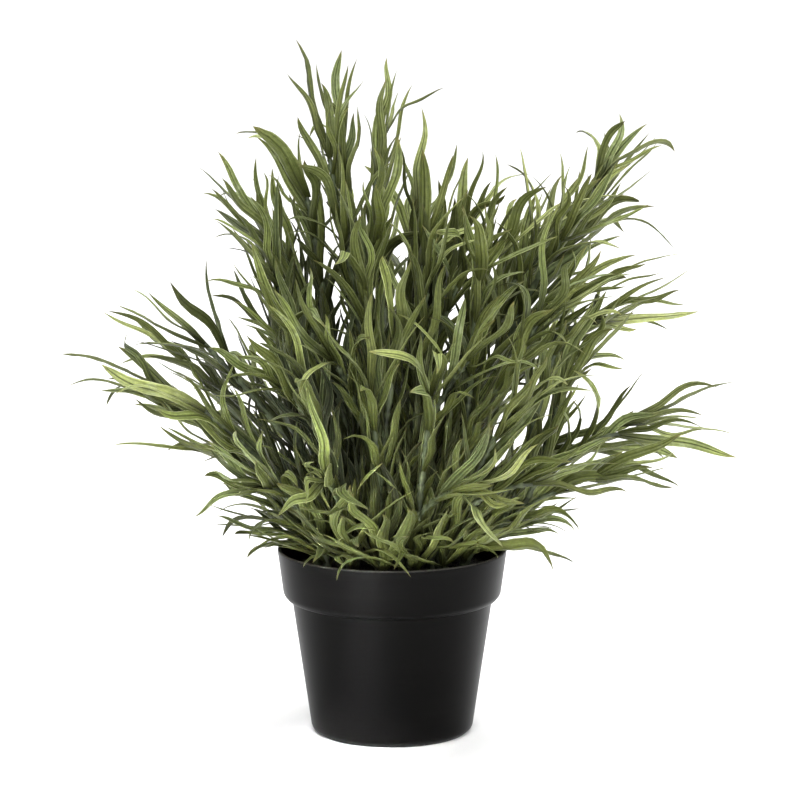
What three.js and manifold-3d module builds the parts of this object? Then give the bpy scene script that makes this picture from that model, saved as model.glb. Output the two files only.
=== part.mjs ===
// Potted lavender: a bush of leafy stems without flowers, in a black nursery pot.
// Millimetres, +Z up. The origin is the centre of the pot's underside, and -Y faces the viewer.

import * as THREE from 'three';
import { mergeVertices } from 'three/addons/utils/BufferGeometryUtils.js';
import Module from 'manifold-3d';

const wasm = await Module();
wasm.setup();

const { Vector3 } = THREE;
const UP = new Vector3(0, 0, 1);
const DEGREE = Math.PI / 180;

// Driving sizes of the pot
const RIM_RADIUS = 60;
const POT_HEIGHT = 97.8;
const COLLAR_BOTTOM = 71.5;
const COLLAR_FOOT_RADIUS = 56.9;
const BODY_TOP_RADIUS = 52.4;
const BODY_BOTTOM_RADIUS = 42.6;
const FOOT_RADIUS = 39.4;
const WALL = 1.9;
const FLOOR = 2.8;
const UNDERSIDE_RECESS = 1.6;
const POT_SIDES = 32;
const DRAIN_HOLES = 6;
const DRAIN_CIRCLE = 27;
const DRAIN_RADIUS = 4;

// The pot's inner wall follows the outer one at the wall's thickness
const INNER_BOTTOM_RADIUS = BODY_BOTTOM_RADIUS - WALL;
const INNER_STEP_RADIUS = BODY_TOP_RADIUS - WALL;
const INNER_STEP_HEIGHT = COLLAR_BOTTOM - WALL / 2;
const INNER_COLLAR_RADIUS = COLLAR_FOOT_RADIUS - WALL;
const INNER_COLLAR_FOOT = COLLAR_BOTTOM + 2;
const INNER_RIM_RADIUS = RIM_RADIUS - WALL;

// Driving sizes of the soil and of the holes that the stems stand in
const SOIL_TOP = 86;
const CLEARANCE = 0.3;
const HOLE_DEPTH = 16;
const HOLE_SIDES = 6;
const UPRIGHT_START = 3;

// Driving sizes of the stems
const STEM_BASE_RADIUS = 2.3;
const STEM_END_RADIUS = 1.2;
const FORK_RADIUS = 1.7;

// How a sprig bends: pulls are shares of its chord, flattening a share of the way to level
const LEANING_START_PULL = 0.02;
const UPRIGHT_START_PULL = 0.33;
const FORK_START_PULL = 0.3;
const END_PULL = 0.33;
const END_FLATTENING = 0.35;

// Where the whorls of leaves stand
const WHORL_SPACING = 25;
const WHORL_LEAVES = 5;
const WHORL_TURN = 37;
const FIRST_WHORL_ABOVE_SOIL = 9;
const FIRST_WHORL_PAST_FORK = 17;
const END_PAIR_SETBACK = 4;

// Driving sizes of the leaves, with the ranges that they vary in; angles in degrees
const LEAF = {
  lowLength: 67,
  endLength: 55,
  lengthRange: [0.78, 1.2],
  widthShare: 0.094,
  widthRange: [0.76, 1.16],
  rootHalfWidth: 0.4,
  keelShare: 0.26,
  leastKeel: 1.1,
  aboveMidrib: 0.4,
  spread: [4, 20],
  rimSpread: [18, 46],
  endSpread: [2, 8],
  endSpreadStep: 6,
  turnJitter: 26,
  recurve: [-16, 88],
  sway: 16,
  tipSway: 30,
  droop: [0, 0.55],
  twist: 30,
  rings: [0, 0.3, 0.64, 1],
  plainRings: [0, 0.42, 1],
  plainRecurve: 48,
};

// How leaves keep out of each other's way
const LEAF_GAP = 0.5;
const OWN_LEAF_CLOSENESS = 0.8;
const ROOT_SHARE = 0.25;
const LEAF_BALLS = 12;
const STEM_BALL_SPACING = 4;
const TRIES = 14;

// A point given by its compass angle in degrees (0 is +X, -90 faces the viewer), reach and height
const place = (angle, reach, height) =>
  new Vector3(reach * Math.cos(angle * DEGREE), reach * Math.sin(angle * DEGREE), height);

// One row for each stem: where its foot stands, where its leading sprig ends, and the side
// sprigs with the share of the stem's length at which they fork off
const STEMS = [
  // Outer ring: the low, wide-spreading stems, from the left wing round the front to the back
  { foot: [184, 39], end: [182, 118, 181], forks: [{ at: 0.3, end: [192, 89, 150] }] },
  { foot: [210, 39], end: [209, 108, 179], forks: [{ at: 0.3, end: [220, 85, 140] }] },
  { foot: [236, 39], end: [238, 80, 194], forks: [{ at: 0.3, end: [246, 82, 148] }] },
  { foot: [262, 39], end: [262, 72, 190], forks: [{ at: 0.35, end: [272, 60, 214] }] },
  { foot: [288, 39], end: [286, 74, 190], forks: [{ at: 0.3, end: [296, 84, 142] }] },
  { foot: [313, 39], end: [311, 92, 182], forks: [{ at: 0.3, end: [322, 91, 142] }] },
  {
    foot: [339, 39],
    end: [340, 108, 142],
    forks: [
      { at: 0.35, end: [334, 93, 208] },
      { at: 0.5, end: [345, 96, 195] },
    ],
  },
  { foot: [4, 39], end: [2, 122, 163], forks: [{ at: 0.35, end: [353, 119, 161] }] },
  { foot: [30, 39], end: [28, 108, 198], forks: [{ at: 0.3, end: [18, 103, 146] }] },
  { foot: [56, 39], end: [54, 110, 172], forks: [{ at: 0.35, end: [44, 103, 202] }] },
  { foot: [82, 39], end: [80, 108, 166], forks: [{ at: 0.35, end: [90, 86, 198] }] },
  { foot: [107, 39], end: [106, 112, 170], forks: [{ at: 0.3, end: [116, 92, 138] }] },
  { foot: [132, 39], end: [132, 105, 171], forks: [{ at: 0.35, end: [141, 76, 204] }] },
  { foot: [158, 39], end: [160, 112, 186], forks: [{ at: 0.3, end: [150, 96, 157] }] },
  // Middle ring: the stems that lean half way out
  { foot: [176, 24], end: [182, 97, 206], forks: [{ at: 0.4, end: [196, 61, 240] }] },
  { foot: [217, 24], end: [220, 66, 215], forks: [{ at: 0.35, end: [228, 84, 194] }] },
  { foot: [254, 24], end: [254, 50, 240], forks: [{ at: 0.35, end: [244, 66, 206] }] },
  { foot: [292, 24], end: [290, 52, 244], forks: [{ at: 0.35, end: [302, 72, 206] }] },
  { foot: [328, 24], end: [328, 88, 224], forks: [{ at: 0.4, end: [312, 66, 246] }] },
  {
    foot: [6, 24],
    end: [6, 107, 288],
    forks: [
      { at: 0.4, end: [356, 104, 219] },
      { at: 0.55, end: [350, 89, 263] },
      { at: 0.62, end: [15, 104, 266] },
    ],
  },
  { foot: [50, 24], end: [48, 88, 236], forks: [{ at: 0.4, end: [32, 95, 247] }] },
  { foot: [94, 24], end: [94, 76, 234], forks: [{ at: 0.35, end: [78, 74, 204] }] },
  { foot: [136, 24], end: [138, 73, 236], forks: [{ at: 0.4, end: [154, 66, 253] }] },
  // Inner ring: the tall stems of the crown
  { foot: [180, 10], end: [176, 60, 252], forks: [{ at: 0.45, end: [196, 46, 287] }] },
  { foot: [240, 10], end: [206, 36, 306], forks: [{ at: 0.5, end: [256, 34, 264] }] },
  { foot: [300, 10], end: [305, 30, 255], forks: [{ at: 0.45, end: [322, 46, 244] }] },
  {
    foot: [0, 10],
    end: [358, 74, 258],
    forks: [
      { at: 0.5, end: [352, 50, 250] },
      { at: 0.36, end: [350, 99, 236] },
    ],
  },
  { foot: [60, 10], end: [70, 36, 268], forks: [{ at: 0.5, end: [30, 40, 258] }] },
  { foot: [120, 10], end: [156, 28, 307], forks: [{ at: 0.55, end: [98, 42, 308] }] },
];

// Random numbers that are the same on every run, from one whole number
function randomFrom(seed) {
  let state = seed >>> 0;
  return () => {
    state = (state + 0x6d2b79f5) >>> 0;
    let mixed = Math.imul(state ^ (state >>> 15), state | 1);
    mixed ^= mixed + Math.imul(mixed ^ (mixed >>> 7), mixed | 61);
    return ((mixed ^ (mixed >>> 14)) >>> 0) / 4294967296;
  };
}

const between = (draw, low, high) => low + (high - low) * draw();
// Most leaves are nearly straight; a few bend a lot
const seldomHigh = (draw, low, high) => low + (high - low) * draw() ** 3;
const blend = (from, to, share) => from + (to - from) * share;

// The axis of a sprig: it leaves its start in one direction and flattens towards its end
function sprigAxis(start, startDirection, end, startPull) {
  const chord = end.clone().sub(start);
  const length = chord.length();
  const flat = new Vector3(chord.x, chord.y, 0).normalize();
  const elevation = Math.asin(chord.z / length);
  const endElevation = elevation - END_FLATTENING * (Math.PI / 2 - elevation);
  const endDirection = flat.multiplyScalar(Math.cos(endElevation));
  endDirection.addScaledVector(UP, Math.sin(endElevation));
  return new THREE.CubicBezierCurve3(
    start,
    start.clone().addScaledVector(startDirection, startPull * length),
    end.clone().addScaledVector(endDirection, -END_PULL * length),
    end,
  );
}

// All sprigs of one stem: the leading one first, then its forks
function sprigsOf(row, number) {
  const start = place(row.foot[0], row.foot[1], SOIL_TOP + UPRIGHT_START);
  const end = place(...row.end);
  const steepness = (end.z - start.z) / end.distanceTo(start);
  const pull = blend(LEANING_START_PULL, UPRIGHT_START_PULL, steepness * steepness);
  const axis = sprigAxis(start, UP, end, pull);
  const sprigs = [{
    stem: number, index: 0, axis, length: axis.getLength(),
    outward: place(row.end[0], 1, 0), firstWhorl: FIRST_WHORL_ABOVE_SOIL,
    baseRadius: STEM_BASE_RADIUS, overRim: row.foot[1] > RIM_RADIUS / 2,
  }];
  row.forks.forEach((fork, order) => {
    const from = axis.getPointAt(fork.at);
    const tip = place(...fork.end);
    const direction = tip.clone().sub(from).normalize().add(axis.getTangentAt(fork.at));
    const side = sprigAxis(from, direction.normalize(), tip, FORK_START_PULL);
    sprigs.push({
      stem: number, index: order + 1, axis: side, length: side.getLength(),
      outward: place(fork.end[0], 1, 0), firstWhorl: FIRST_WHORL_PAST_FORK,
      baseRadius: FORK_RADIUS,
    });
  });
  return sprigs;
}

// The radius of a sprig's stem at a share of its length
const stemRadius = (sprig, share) => blend(sprig.baseRadius, STEM_END_RADIUS, Math.sqrt(share));

// The whorls of a sprig: evenly spaced shares of its length, the last one at its end
function whorlsOf(sprig) {
  const leafy = sprig.length - sprig.firstWhorl;
  const count = Math.max(2, Math.round(leafy / WHORL_SPACING));
  const whorls = [];
  for (let order = 0; order <= count; order += 1) {
    const along = sprig.firstWhorl + (leafy * order) / count;
    whorls.push({ order, share: Math.min(along / sprig.length, 1), last: order === count });
  }
  return whorls;
}

// One try at a leaf: its midrib as four points, the way its upper face looks, and its width
function drawLeaf(sprig, whorl, number, draw) {
  const tangent = sprig.axis.getTangentAt(whorl.share);
  const outward = sprig.outward.clone().addScaledVector(tangent, -sprig.outward.dot(tangent));
  outward.normalize();
  const across = new Vector3().crossVectors(tangent, outward);
  const leading = whorl.last && number === 0;
  const ordered = leading ? 0 : whorl.order * WHORL_TURN + (number * 360) / WHORL_LEAVES;
  const turn = ordered + between(draw, -LEAF.turnJitter, LEAF.turnJitter);
  const away = outward.multiplyScalar(Math.cos(turn * DEGREE));
  away.addScaledVector(across, Math.sin(turn * DEGREE));
  const aside = new Vector3().crossVectors(tangent, away);

  const endSpread = between(draw, ...LEAF.endSpread) + LEAF.endSpreadStep * number;
  const lowest = whorl.order === 0 && sprig.overRim;
  const sideSpread = between(draw, ...(lowest ? LEAF.rimSpread : LEAF.spread));
  const spread = whorl.last ? endSpread : sideSpread;
  const recurve = seldomHigh(draw, ...LEAF.recurve);
  const sway = between(draw, -LEAF.sway, LEAF.sway);
  const tipSway = between(draw, -LEAF.tipSway, LEAF.tipSway);
  const droop = seldomHigh(draw, ...LEAF.droop);
  const usualLength = blend(LEAF.lowLength, LEAF.endLength, whorl.share);
  const length = usualLength * between(draw, ...LEAF.lengthRange);
  const width = length * LEAF.widthShare * between(draw, ...LEAF.widthRange);
  const twist = between(draw, -LEAF.twist, LEAF.twist);

  // A direction that bends away from the stem by one angle and slips aside by another
  const heading = (bend, slip) => tangent.clone().multiplyScalar(Math.cos(bend * DEGREE))
    .addScaledVector(away, Math.sin(bend * DEGREE))
    .addScaledVector(aside, Math.tan(slip * DEGREE)).normalize();
  const setBack = whorl.last && !leading ? END_PAIR_SETBACK / sprig.length : 0;
  const root = sprig.axis.getPointAt(whorl.share - setBack);
  const first = root.clone().addScaledVector(heading(spread, 0), length * 0.36);
  const second = first.clone().addScaledVector(heading(spread + recurve * 0.3, sway), length * 0.34);
  const tipHeading = heading(spread + recurve, tipSway).addScaledVector(UP, -droop).normalize();
  const tip = second.clone().addScaledVector(tipHeading, length * 0.3);
  const midrib = new THREE.CubicBezierCurve3(root, first, second, tip);
  const plain = !leading && recurve < LEAF.plainRecurve;
  const rings = plain ? LEAF.plainRings : LEAF.rings;
  return { stem: sprig.stem, sprig, midrib, aside, width, twist, rings, leading };
}

// Half the width of a leaf at a share of its length: narrow base, widest past the middle
function halfWidth(leaf, share) {
  const swell = Math.min(1, 0.16 + 2.3 * share) * Math.sqrt(Math.max(0, 1 - share ** 3));
  return 0.5 * leaf.width * swell;
}

// Room that is already taken, as balls sorted into cubes of space
const CUBE = 12;
const room = new Map();
const cubeOf = (value) => Math.floor(value / CUBE);
const cubeKey = (x, y, z) => `${x},${y},${z}`;

function takeRoom(ball) {
  const key = cubeKey(cubeOf(ball.centre.x), cubeOf(ball.centre.y), cubeOf(ball.centre.z));
  if (!room.has(key)) room.set(key, []);
  room.get(key).push(ball);
}

function isFree(ball) {
  const [x, y, z] = [ball.centre.x, ball.centre.y, ball.centre.z].map(cubeOf);
  for (let dx = -1; dx <= 1; dx += 1) {
    for (let dy = -1; dy <= 1; dy += 1) {
      for (let dz = -1; dz <= 1; dz += 1) {
        for (const other of room.get(cubeKey(x + dx, y + dy, z + dz)) ?? []) {
          const own = other.stem === ball.stem;
          if (own && (ball.low || other.low)) continue;
          const closeness = own ? OWN_LEAF_CLOSENESS : 1;
          const reach = own && other.bare ? LEAF.leastKeel : ball.radius;
          const apart = (other.radius + reach) * closeness + LEAF_GAP;
          if (other.centre.distanceTo(ball.centre) < apart) return false;
        }
      }
    }
  }
  return true;
}

// The balls along a leaf; those near its root don't count against its own stem
function ballsOf(leaf) {
  const balls = [];
  for (let step = 1; step <= LEAF_BALLS; step += 1) {
    const share = step / LEAF_BALLS;
    const centre = leaf.midrib.getPoint(share);
    const radius = Math.max(halfWidth(leaf, share), LEAF.leastKeel / 2);
    balls.push({ stem: leaf.stem, centre, radius, low: share <= ROOT_SHARE });
  }
  return balls;
}

// A leaf stays clear of the soil and of the pot's rim
function clearOfPot(ball) {
  const reach = Math.hypot(ball.centre.x, ball.centre.y);
  if (ball.centre.z < SOIL_TOP + ball.radius + LEAF_GAP) return false;
  const overRim = ball.centre.z > POT_HEIGHT + ball.radius + 3 * LEAF_GAP;
  return overRim || reach < INNER_COLLAR_RADIUS - ball.radius;
}

// Which of a whorl's five leaves are grown: a leading pair at a sprig's end, and one or two
// below it, turning from whorl to whorl; the low stems spread three over the rim
function leafNumbers(sprig, whorl) {
  if (whorl.last) return [0, 2];
  if (whorl.order === 0 && sprig.overRim) return [1, 3, 4];
  return whorl.order % 3 ? [(whorl.order * 2) % WHORL_LEAVES] : [1, 3];
}

function growLeaf(sprig, whorl, number) {
  const draw = randomFrom(sprig.stem * 10007 + sprig.index * 1009 + whorl.order * 31 + number);
  for (let attempt = 0; attempt < TRIES; attempt += 1) {
    const leaf = drawLeaf(sprig, whorl, number, draw);
    const balls = ballsOf(leaf);
    if (balls.every((ball) => clearOfPot(ball) && isFree(ball))) {
      balls.forEach(takeRoom);
      return leaf;
    }
  }
  return null;
}

// A closed mesh as a solid that can be joined and cut
function solidOf(geometry) {
  const bare = geometry.clone();
  bare.deleteAttribute('normal');
  bare.deleteAttribute('uv');
  const merged = mergeVertices(bare, 1e-4);
  return new wasm.Manifold(new wasm.Mesh({
    numProp: 3,
    vertProperties: new Float32Array(merged.attributes.position.array),
    triVerts: new Uint32Array(merged.index.array),
    tolerance: 0.004,
  }));
}

function geometryOf(solid) {
  const mesh = solid.getMesh();
  const geometry = new THREE.BufferGeometry();
  geometry.setAttribute('position', new THREE.BufferAttribute(mesh.vertProperties, 3));
  geometry.setIndex(new THREE.BufferAttribute(mesh.triVerts, 1));
  geometry.computeVertexNormals();
  return geometry;
}

// Directions across a stem or leaf: `down` is where the keel looks, turned by some degrees
function acrossFrame(tangent, hint, turn) {
  const keel = hint.clone().addScaledVector(tangent, -hint.dot(tangent)).normalize();
  const edge = new Vector3().crossVectors(tangent, keel);
  const [cosine, sine] = [Math.cos(turn * DEGREE), Math.sin(turn * DEGREE)];
  return {
    right: edge.clone().multiplyScalar(cosine).addScaledVector(keel, sine),
    down: keel.clone().multiplyScalar(cosine).addScaledVector(edge, -sine),
  };
}

// How far aside the corners of an upright triangle lie, for a circle of radius 1 round it
const CORNER_X = Math.sqrt(3) / 2;

// A closed body through triangular sections, flat above and keeled below, ending in a point
function loftSolid(sections) {
  const spans = sections.length - 1;
  const cone = new THREE.ConeGeometry(1, 1, 3, spans);
  const position = cone.attributes.position;
  for (let index = 0; index < position.count; index += 1) {
    const share = position.getY(index) + 0.5;
    const { point, right, down, half, depth, above } = sections[Math.round(share * spans)];
    const taper = Math.max(1 - share, 1e-9);
    const acrossShare = share < 1 ? position.getX(index) / taper / CORNER_X : 0;
    const downShare = share < 1 ? (position.getZ(index) / taper + 0.5) / 1.5 - above : 0;
    const corner = point.clone().addScaledVector(right, acrossShare * half);
    corner.addScaledVector(down, downShare * depth);
    position.setXYZ(index, corner.x, corner.y, corner.z);
  }
  return solidOf(cone);
}

// The sections of a leaf blade along its midrib
function leafSections(leaf) {
  return leaf.rings.map((share) => {
    const tangent = leaf.midrib.getTangent(share);
    const hint = new Vector3().crossVectors(leaf.aside, tangent);
    const half = Math.max(halfWidth(leaf, share), LEAF.rootHalfWidth);
    const keel = Math.max(LEAF.keelShare * leaf.width, LEAF.leastKeel);
    const depth = keel * Math.min(1, 0.5 + 2 * share);
    const frame = acrossFrame(tangent, hint, leaf.twist * share);
    const point = leaf.midrib.getPoint(share);
    return { point, ...frame, half, depth, above: LEAF.aboveMidrib };
  });
}

// The sections of a sprig's bare stem, one at each whorl; the leading sprig starts in its hole
function stemSections(sprig) {
  const stops = [{ share: 0, drop: 0 }, ...whorlsOf(sprig)];
  if (sprig.index === 0) stops.unshift({ share: 0, drop: HOLE_DEPTH - CLEARANCE + UPRIGHT_START });
  return stops.map(({ share, drop = 0 }) => {
    const upright = sprig.index === 0 && share === 0;
    const tangent = upright ? UP : sprig.axis.getTangentAt(share);
    const point = sprig.axis.getPointAt(share).addScaledVector(UP, -drop);
    const radius = stemRadius(sprig, share);
    const frame = acrossFrame(tangent, sprig.outward, 0);
    return { point, ...frame, half: radius * CORNER_X, depth: radius * 1.5, above: 1 / 3 };
  });
}

// A sprig's stem runs on into its leading leaf
function sprigSolid(sprig, leaves) {
  const leading = leaves.find((leaf) => leaf.leading && leaf.sprig === sprig);
  return loftSolid([...stemSections(sprig), ...leafSections(leading).slice(1)]);
}

// One stem with its forks and leaves, joined into one body
function leafyStemSolid(sprigs, leaves) {
  const bodies = sprigs.map((sprig) => sprigSolid(sprig, leaves));
  const blades = leaves.filter((leaf) => !leaf.leading).map((leaf) => loftSolid(leafSections(leaf)));
  return [...bodies, ...blades].reduce((whole, piece) => whole.add(piece));
}

// A closed ring or plug turned round the upright axis
function turned(outline, sides) {
  const profile = outline.map(([radius, height]) => new THREE.Vector2(radius, height));
  return new THREE.LatheGeometry(profile, sides).rotateX(Math.PI / 2);
}

// An upright prism for a hole, from its floor to its mouth
function holeSolid(x, y, floor, mouth, inscribedRadius, sides) {
  const radius = inscribedRadius / Math.cos(Math.PI / sides);
  const prism = new THREE.CylinderGeometry(radius, radius, mouth - floor, sides);
  return solidOf(prism.rotateX(Math.PI / 2).translate(x, y, (floor + mouth) / 2));
}

function potSolid() {
  const outline = [
    [0, 0], [14, 0], [15.2, UNDERSIDE_RECESS], [33.2, UNDERSIDE_RECESS], [34.4, 0],
    [FOOT_RADIUS, 0], [BODY_BOTTOM_RADIUS - 0.8, 1.8], [BODY_BOTTOM_RADIUS, 4.6],
    [BODY_TOP_RADIUS, COLLAR_BOTTOM - 0.8], [COLLAR_FOOT_RADIUS - 2, COLLAR_BOTTOM],
    [COLLAR_FOOT_RADIUS, COLLAR_BOTTOM + 2.4], [RIM_RADIUS, POT_HEIGHT - 0.9],
    [RIM_RADIUS - 0.6, POT_HEIGHT], [INNER_RIM_RADIUS + 0.4, POT_HEIGHT],
    [INNER_RIM_RADIUS, POT_HEIGHT - 0.8], [INNER_COLLAR_RADIUS, INNER_COLLAR_FOOT],
    [INNER_STEP_RADIUS, INNER_STEP_HEIGHT], [INNER_BOTTOM_RADIUS, FLOOR + 1], [0, FLOOR],
  ];
  let pot = solidOf(turned(outline, POT_SIDES));
  for (let hole = 0; hole < DRAIN_HOLES; hole += 1) {
    const { x, y } = place((360 * hole) / DRAIN_HOLES + 30, DRAIN_CIRCLE, 0);
    pot = pot.subtract(holeSolid(x, y, -1, FLOOR + 2, DRAIN_RADIUS, HOLE_SIDES));
  }
  return pot;
}

function soilSolid() {
  const gap = CLEARANCE / Math.cos(Math.PI / POT_SIDES);
  const collarShare = (SOIL_TOP - INNER_COLLAR_FOOT) / (POT_HEIGHT - 0.8 - INNER_COLLAR_FOOT);
  const topRadius = blend(INNER_COLLAR_RADIUS, INNER_RIM_RADIUS, collarShare) - gap;
  const outline = [
    [0, FLOOR + gap], [INNER_BOTTOM_RADIUS - gap, FLOOR + 1 + gap],
    [INNER_STEP_RADIUS - gap, INNER_STEP_HEIGHT + gap],
    [INNER_COLLAR_RADIUS - gap, INNER_COLLAR_FOOT + gap], [topRadius, SOIL_TOP], [0, SOIL_TOP],
  ];
  let soil = solidOf(turned(outline, POT_SIDES));
  for (const row of STEMS) {
    const { x, y } = place(row.foot[0], row.foot[1], 0);
    const radius = STEM_BASE_RADIUS + CLEARANCE;
    soil = soil.subtract(holeSolid(x, y, SOIL_TOP - HOLE_DEPTH, SOIL_TOP + 2, radius, HOLE_SIDES));
  }
  return soil;
}

// All sprigs take their room first, so that no leaf grows through another stem
const allSprigs = STEMS.map(sprigsOf);
for (const sprig of allSprigs.flat()) {
  const steps = Math.ceil(sprig.length / STEM_BALL_SPACING);
  for (let step = 0; step <= steps; step += 1) {
    const share = step / steps;
    const radius = stemRadius(sprig, share) + LEAF_GAP;
    takeRoom({ stem: sprig.stem, centre: sprig.axis.getPointAt(share), radius, bare: true });
  }
}

// Then the leaves grow whorl by whorl, round all stems in turn
const allLeaves = STEMS.map(() => []);
const mostWhorls = Math.max(...allSprigs.flat().map((sprig) => whorlsOf(sprig).length));
for (let layer = 0; layer < mostWhorls; layer += 1) {
  for (const sprig of allSprigs.flat()) {
    const whorl = whorlsOf(sprig).reverse()[layer];
    if (!whorl) continue;
    for (const number of leafNumbers(sprig, whorl)) {
      const leaf = growLeaf(sprig, whorl, number);
      if (leaf) allLeaves[sprig.stem].push(leaf);
    }
  }
}

const potMaterial = new THREE.MeshStandardMaterial({ color: '#2a2a29', roughness: 0.55 });
const soilMaterial = new THREE.MeshStandardMaterial({ color: '#1c1713', roughness: 0.95 });
const foliageMaterial = new THREE.MeshStandardMaterial({ color: '#66794a', roughness: 0.5 });

function namedMesh(name, solid, material) {
  const mesh = new THREE.Mesh(geometryOf(solid), material);
  mesh.name = name;
  return mesh;
}

const plant = new THREE.Group();
plant.add(namedMesh('pot', potSolid(), potMaterial));
plant.add(namedMesh('soil', soilSolid(), soilMaterial));
STEMS.forEach((row, number) => {
  const name = `leafy_stem_${String(number + 1).padStart(2, '0')}`;
  const solid = leafyStemSolid(allSprigs[number], allLeaves[number]);
  plant.add(namedMesh(name, solid, foliageMaterial.clone()));
});

export default plant;
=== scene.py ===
# %% [markdown]
# # A potted lavender, grown leaf by leaf
#
# The object is a bush of grey-green lavender foliage without flowers, in a black nursery pot.
# The CAD frame already holds the pot, the soil and twenty-nine forked stems with three in ten of
# the leaves, as plain keeled blades. This script dresses that frame: every stem gets all of its
# leaves, thin and channelled, the soil gets its crumbs and the pot its round edges.
#
# Lengths are metres and +Z is up. The growth rows are written in millimetres and converted once.

import math

import bpy
import numpy as np
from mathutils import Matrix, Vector


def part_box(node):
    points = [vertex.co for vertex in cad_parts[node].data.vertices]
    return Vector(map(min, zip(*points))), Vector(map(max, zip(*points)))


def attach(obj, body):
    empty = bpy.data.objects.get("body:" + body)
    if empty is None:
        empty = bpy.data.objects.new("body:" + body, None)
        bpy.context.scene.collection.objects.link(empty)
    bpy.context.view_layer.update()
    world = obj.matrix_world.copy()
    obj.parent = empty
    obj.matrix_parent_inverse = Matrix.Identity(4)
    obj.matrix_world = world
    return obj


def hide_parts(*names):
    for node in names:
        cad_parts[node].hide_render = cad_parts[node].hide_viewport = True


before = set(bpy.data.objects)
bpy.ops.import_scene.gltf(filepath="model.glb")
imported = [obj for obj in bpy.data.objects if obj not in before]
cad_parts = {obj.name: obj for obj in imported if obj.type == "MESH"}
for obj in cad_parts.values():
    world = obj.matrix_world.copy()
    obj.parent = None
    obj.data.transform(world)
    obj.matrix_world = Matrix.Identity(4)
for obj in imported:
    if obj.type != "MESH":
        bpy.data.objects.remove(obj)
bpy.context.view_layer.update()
pot_low, pot_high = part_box("pot")

MM = 0.001
UP = np.array([0.0, 0.0, 1.0])
RIM_RADIUS = (pot_high.x - pot_low.x) / 2
POT_HEIGHT = pot_high.z
SOIL_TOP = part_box("soil")[1].z
print(f"frame: {len(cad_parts)} nodes, pot {POT_HEIGHT:.4f} m high, rim radius {RIM_RADIUS:.4f} m")

# %% [markdown]
# ## The camera
#
# The pot's outline fixes the view. Its rim is an ellipse whose height against its width gives
# the angle from which the lens looks down, and the taper of its sides gives the distance.
# A long lens two metres away, a little under ten degrees above level, fits all of its edges.
# The pot stands slightly left of the middle, so the camera stands slightly right of it.

# %% Camera
CAMERA_DISTANCE = 2.0
CAMERA_HEIGHT = 0.5155
CAMERA_ASIDE = 0.0041
CAMERA_PITCH = math.radians(9.635)
FOCAL_LENGTH = 175.6
SENSOR_WIDTH = 36.0
NEAREST, FARTHEST = 0.1, 60.0

camera_data = bpy.data.cameras.new("camera")
camera_data.lens = FOCAL_LENGTH
camera_data.sensor_width = SENSOR_WIDTH
camera_data.clip_start, camera_data.clip_end = NEAREST, FARTHEST
camera = bpy.data.objects.new("camera", camera_data)
camera.location = (CAMERA_ASIDE, -CAMERA_DISTANCE, CAMERA_HEIGHT)
camera.rotation_euler = (math.pi / 2 - CAMERA_PITCH, 0.0, 0.0)
bpy.context.scene.collection.objects.link(camera)
bpy.context.scene.camera = camera
print(f"camera: lens {FOCAL_LENGTH} mm, {math.degrees(CAMERA_PITCH):.2f} degrees down")

# %% [markdown]
# ## Floor and light
#
# The photograph is a cut-out on white, taken in soft studio light that has no clear side. A tall
# softbox in front, a broad one overhead and a weaker one on the right light the leaves. A card
# and a narrow lamp, both low in front, reach the leaves over the rim. The pot's wall leans, so
# it mirrors only the floor. The upright sheen left of its middle is a streak of light on the
# floor, which a small lamp on the left throws towards the pot. The bank behind the plant keeps
# the floor white up to the upper edge of the picture.

# %% Floor and lamps
FLOOR_SIZE = 30.0
WHITE = (1.0, 1.0, 1.0, 1.0)
SURROUND_STRENGTH = 0.035
LAMPS = [
    # name, place, point it looks at, width and height, power in watts, spread of its beam
    ("key_softbox", (-0.15, -1.95, 1.8), (0.0, 0.0, 0.3), (0.8, 2.0), 42.0, 180.0),
    ("front_card", (0.5, -2.4, 0.3), (0.0, 0.0, 0.12), (1.4, 0.4), 20.0, 180.0),
    ("fill_softbox", (2.0, -0.7, 1.2), (0.0, 0.0, 0.17), (1.0, 1.4), 34.0, 180.0),
    ("top_softbox", (0.0, 0.2, 2.4), (0.0, 0.0, 0.0), (2.6, 2.6), 80.0, 180.0),
    ("foot_lamp", (-1.0, -1.75, 0.16), (0.0, 0.0, 0.125), (0.12, 0.12), 0.14, 4.0),
    ("streak_lamp", (-0.86, -1.69, 0.30), (-0.13, -0.25, 0.0), (0.05, 0.05), 0.52, 3.0),
    ("backdrop_bank", (0.0, 5.2, 5.0), (0.0, 5.2, 0.0), (9.0, 9.0), 640.0, 180.0),
]


def mesh_object(name, vertices, faces, edges=()):
    mesh = bpy.data.meshes.new(name)
    mesh.from_pydata([tuple(v) for v in vertices], list(edges), list(faces))
    mesh.update()
    made = bpy.data.objects.new(name, mesh)
    bpy.context.scene.collection.objects.link(made)
    return made


half = FLOOR_SIZE / 2
floor = mesh_object(
    "floor",
    [(-half, -half, 0), (half, -half, 0), (half, half, 0), (-half, half, 0)],
    [(0, 1, 2, 3)],
)

for name, where, aim, size, power, spread in LAMPS:
    lamp_data = bpy.data.lights.new(name, "AREA")
    lamp_data.shape = "RECTANGLE"
    lamp_data.size, lamp_data.size_y = size
    lamp_data.energy = power
    lamp_data.spread = math.radians(spread)
    lamp = bpy.data.objects.new(name, lamp_data)
    lamp.location = where
    lamp.rotation_euler = (Vector(aim) - Vector(where)).to_track_quat("-Z", "Y").to_euler()
    bpy.context.scene.collection.objects.link(lamp)

world = bpy.data.worlds.new("studio")
world.use_nodes = True
surround = world.node_tree.nodes["Background"].inputs
surround["Color"].default_value = WHITE
surround["Strength"].default_value = SURROUND_STRENGTH
bpy.context.scene.world = world
bpy.context.scene.view_settings.view_transform = "Standard"
print(f"light: {len(LAMPS)} lamps and an even surround")

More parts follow.
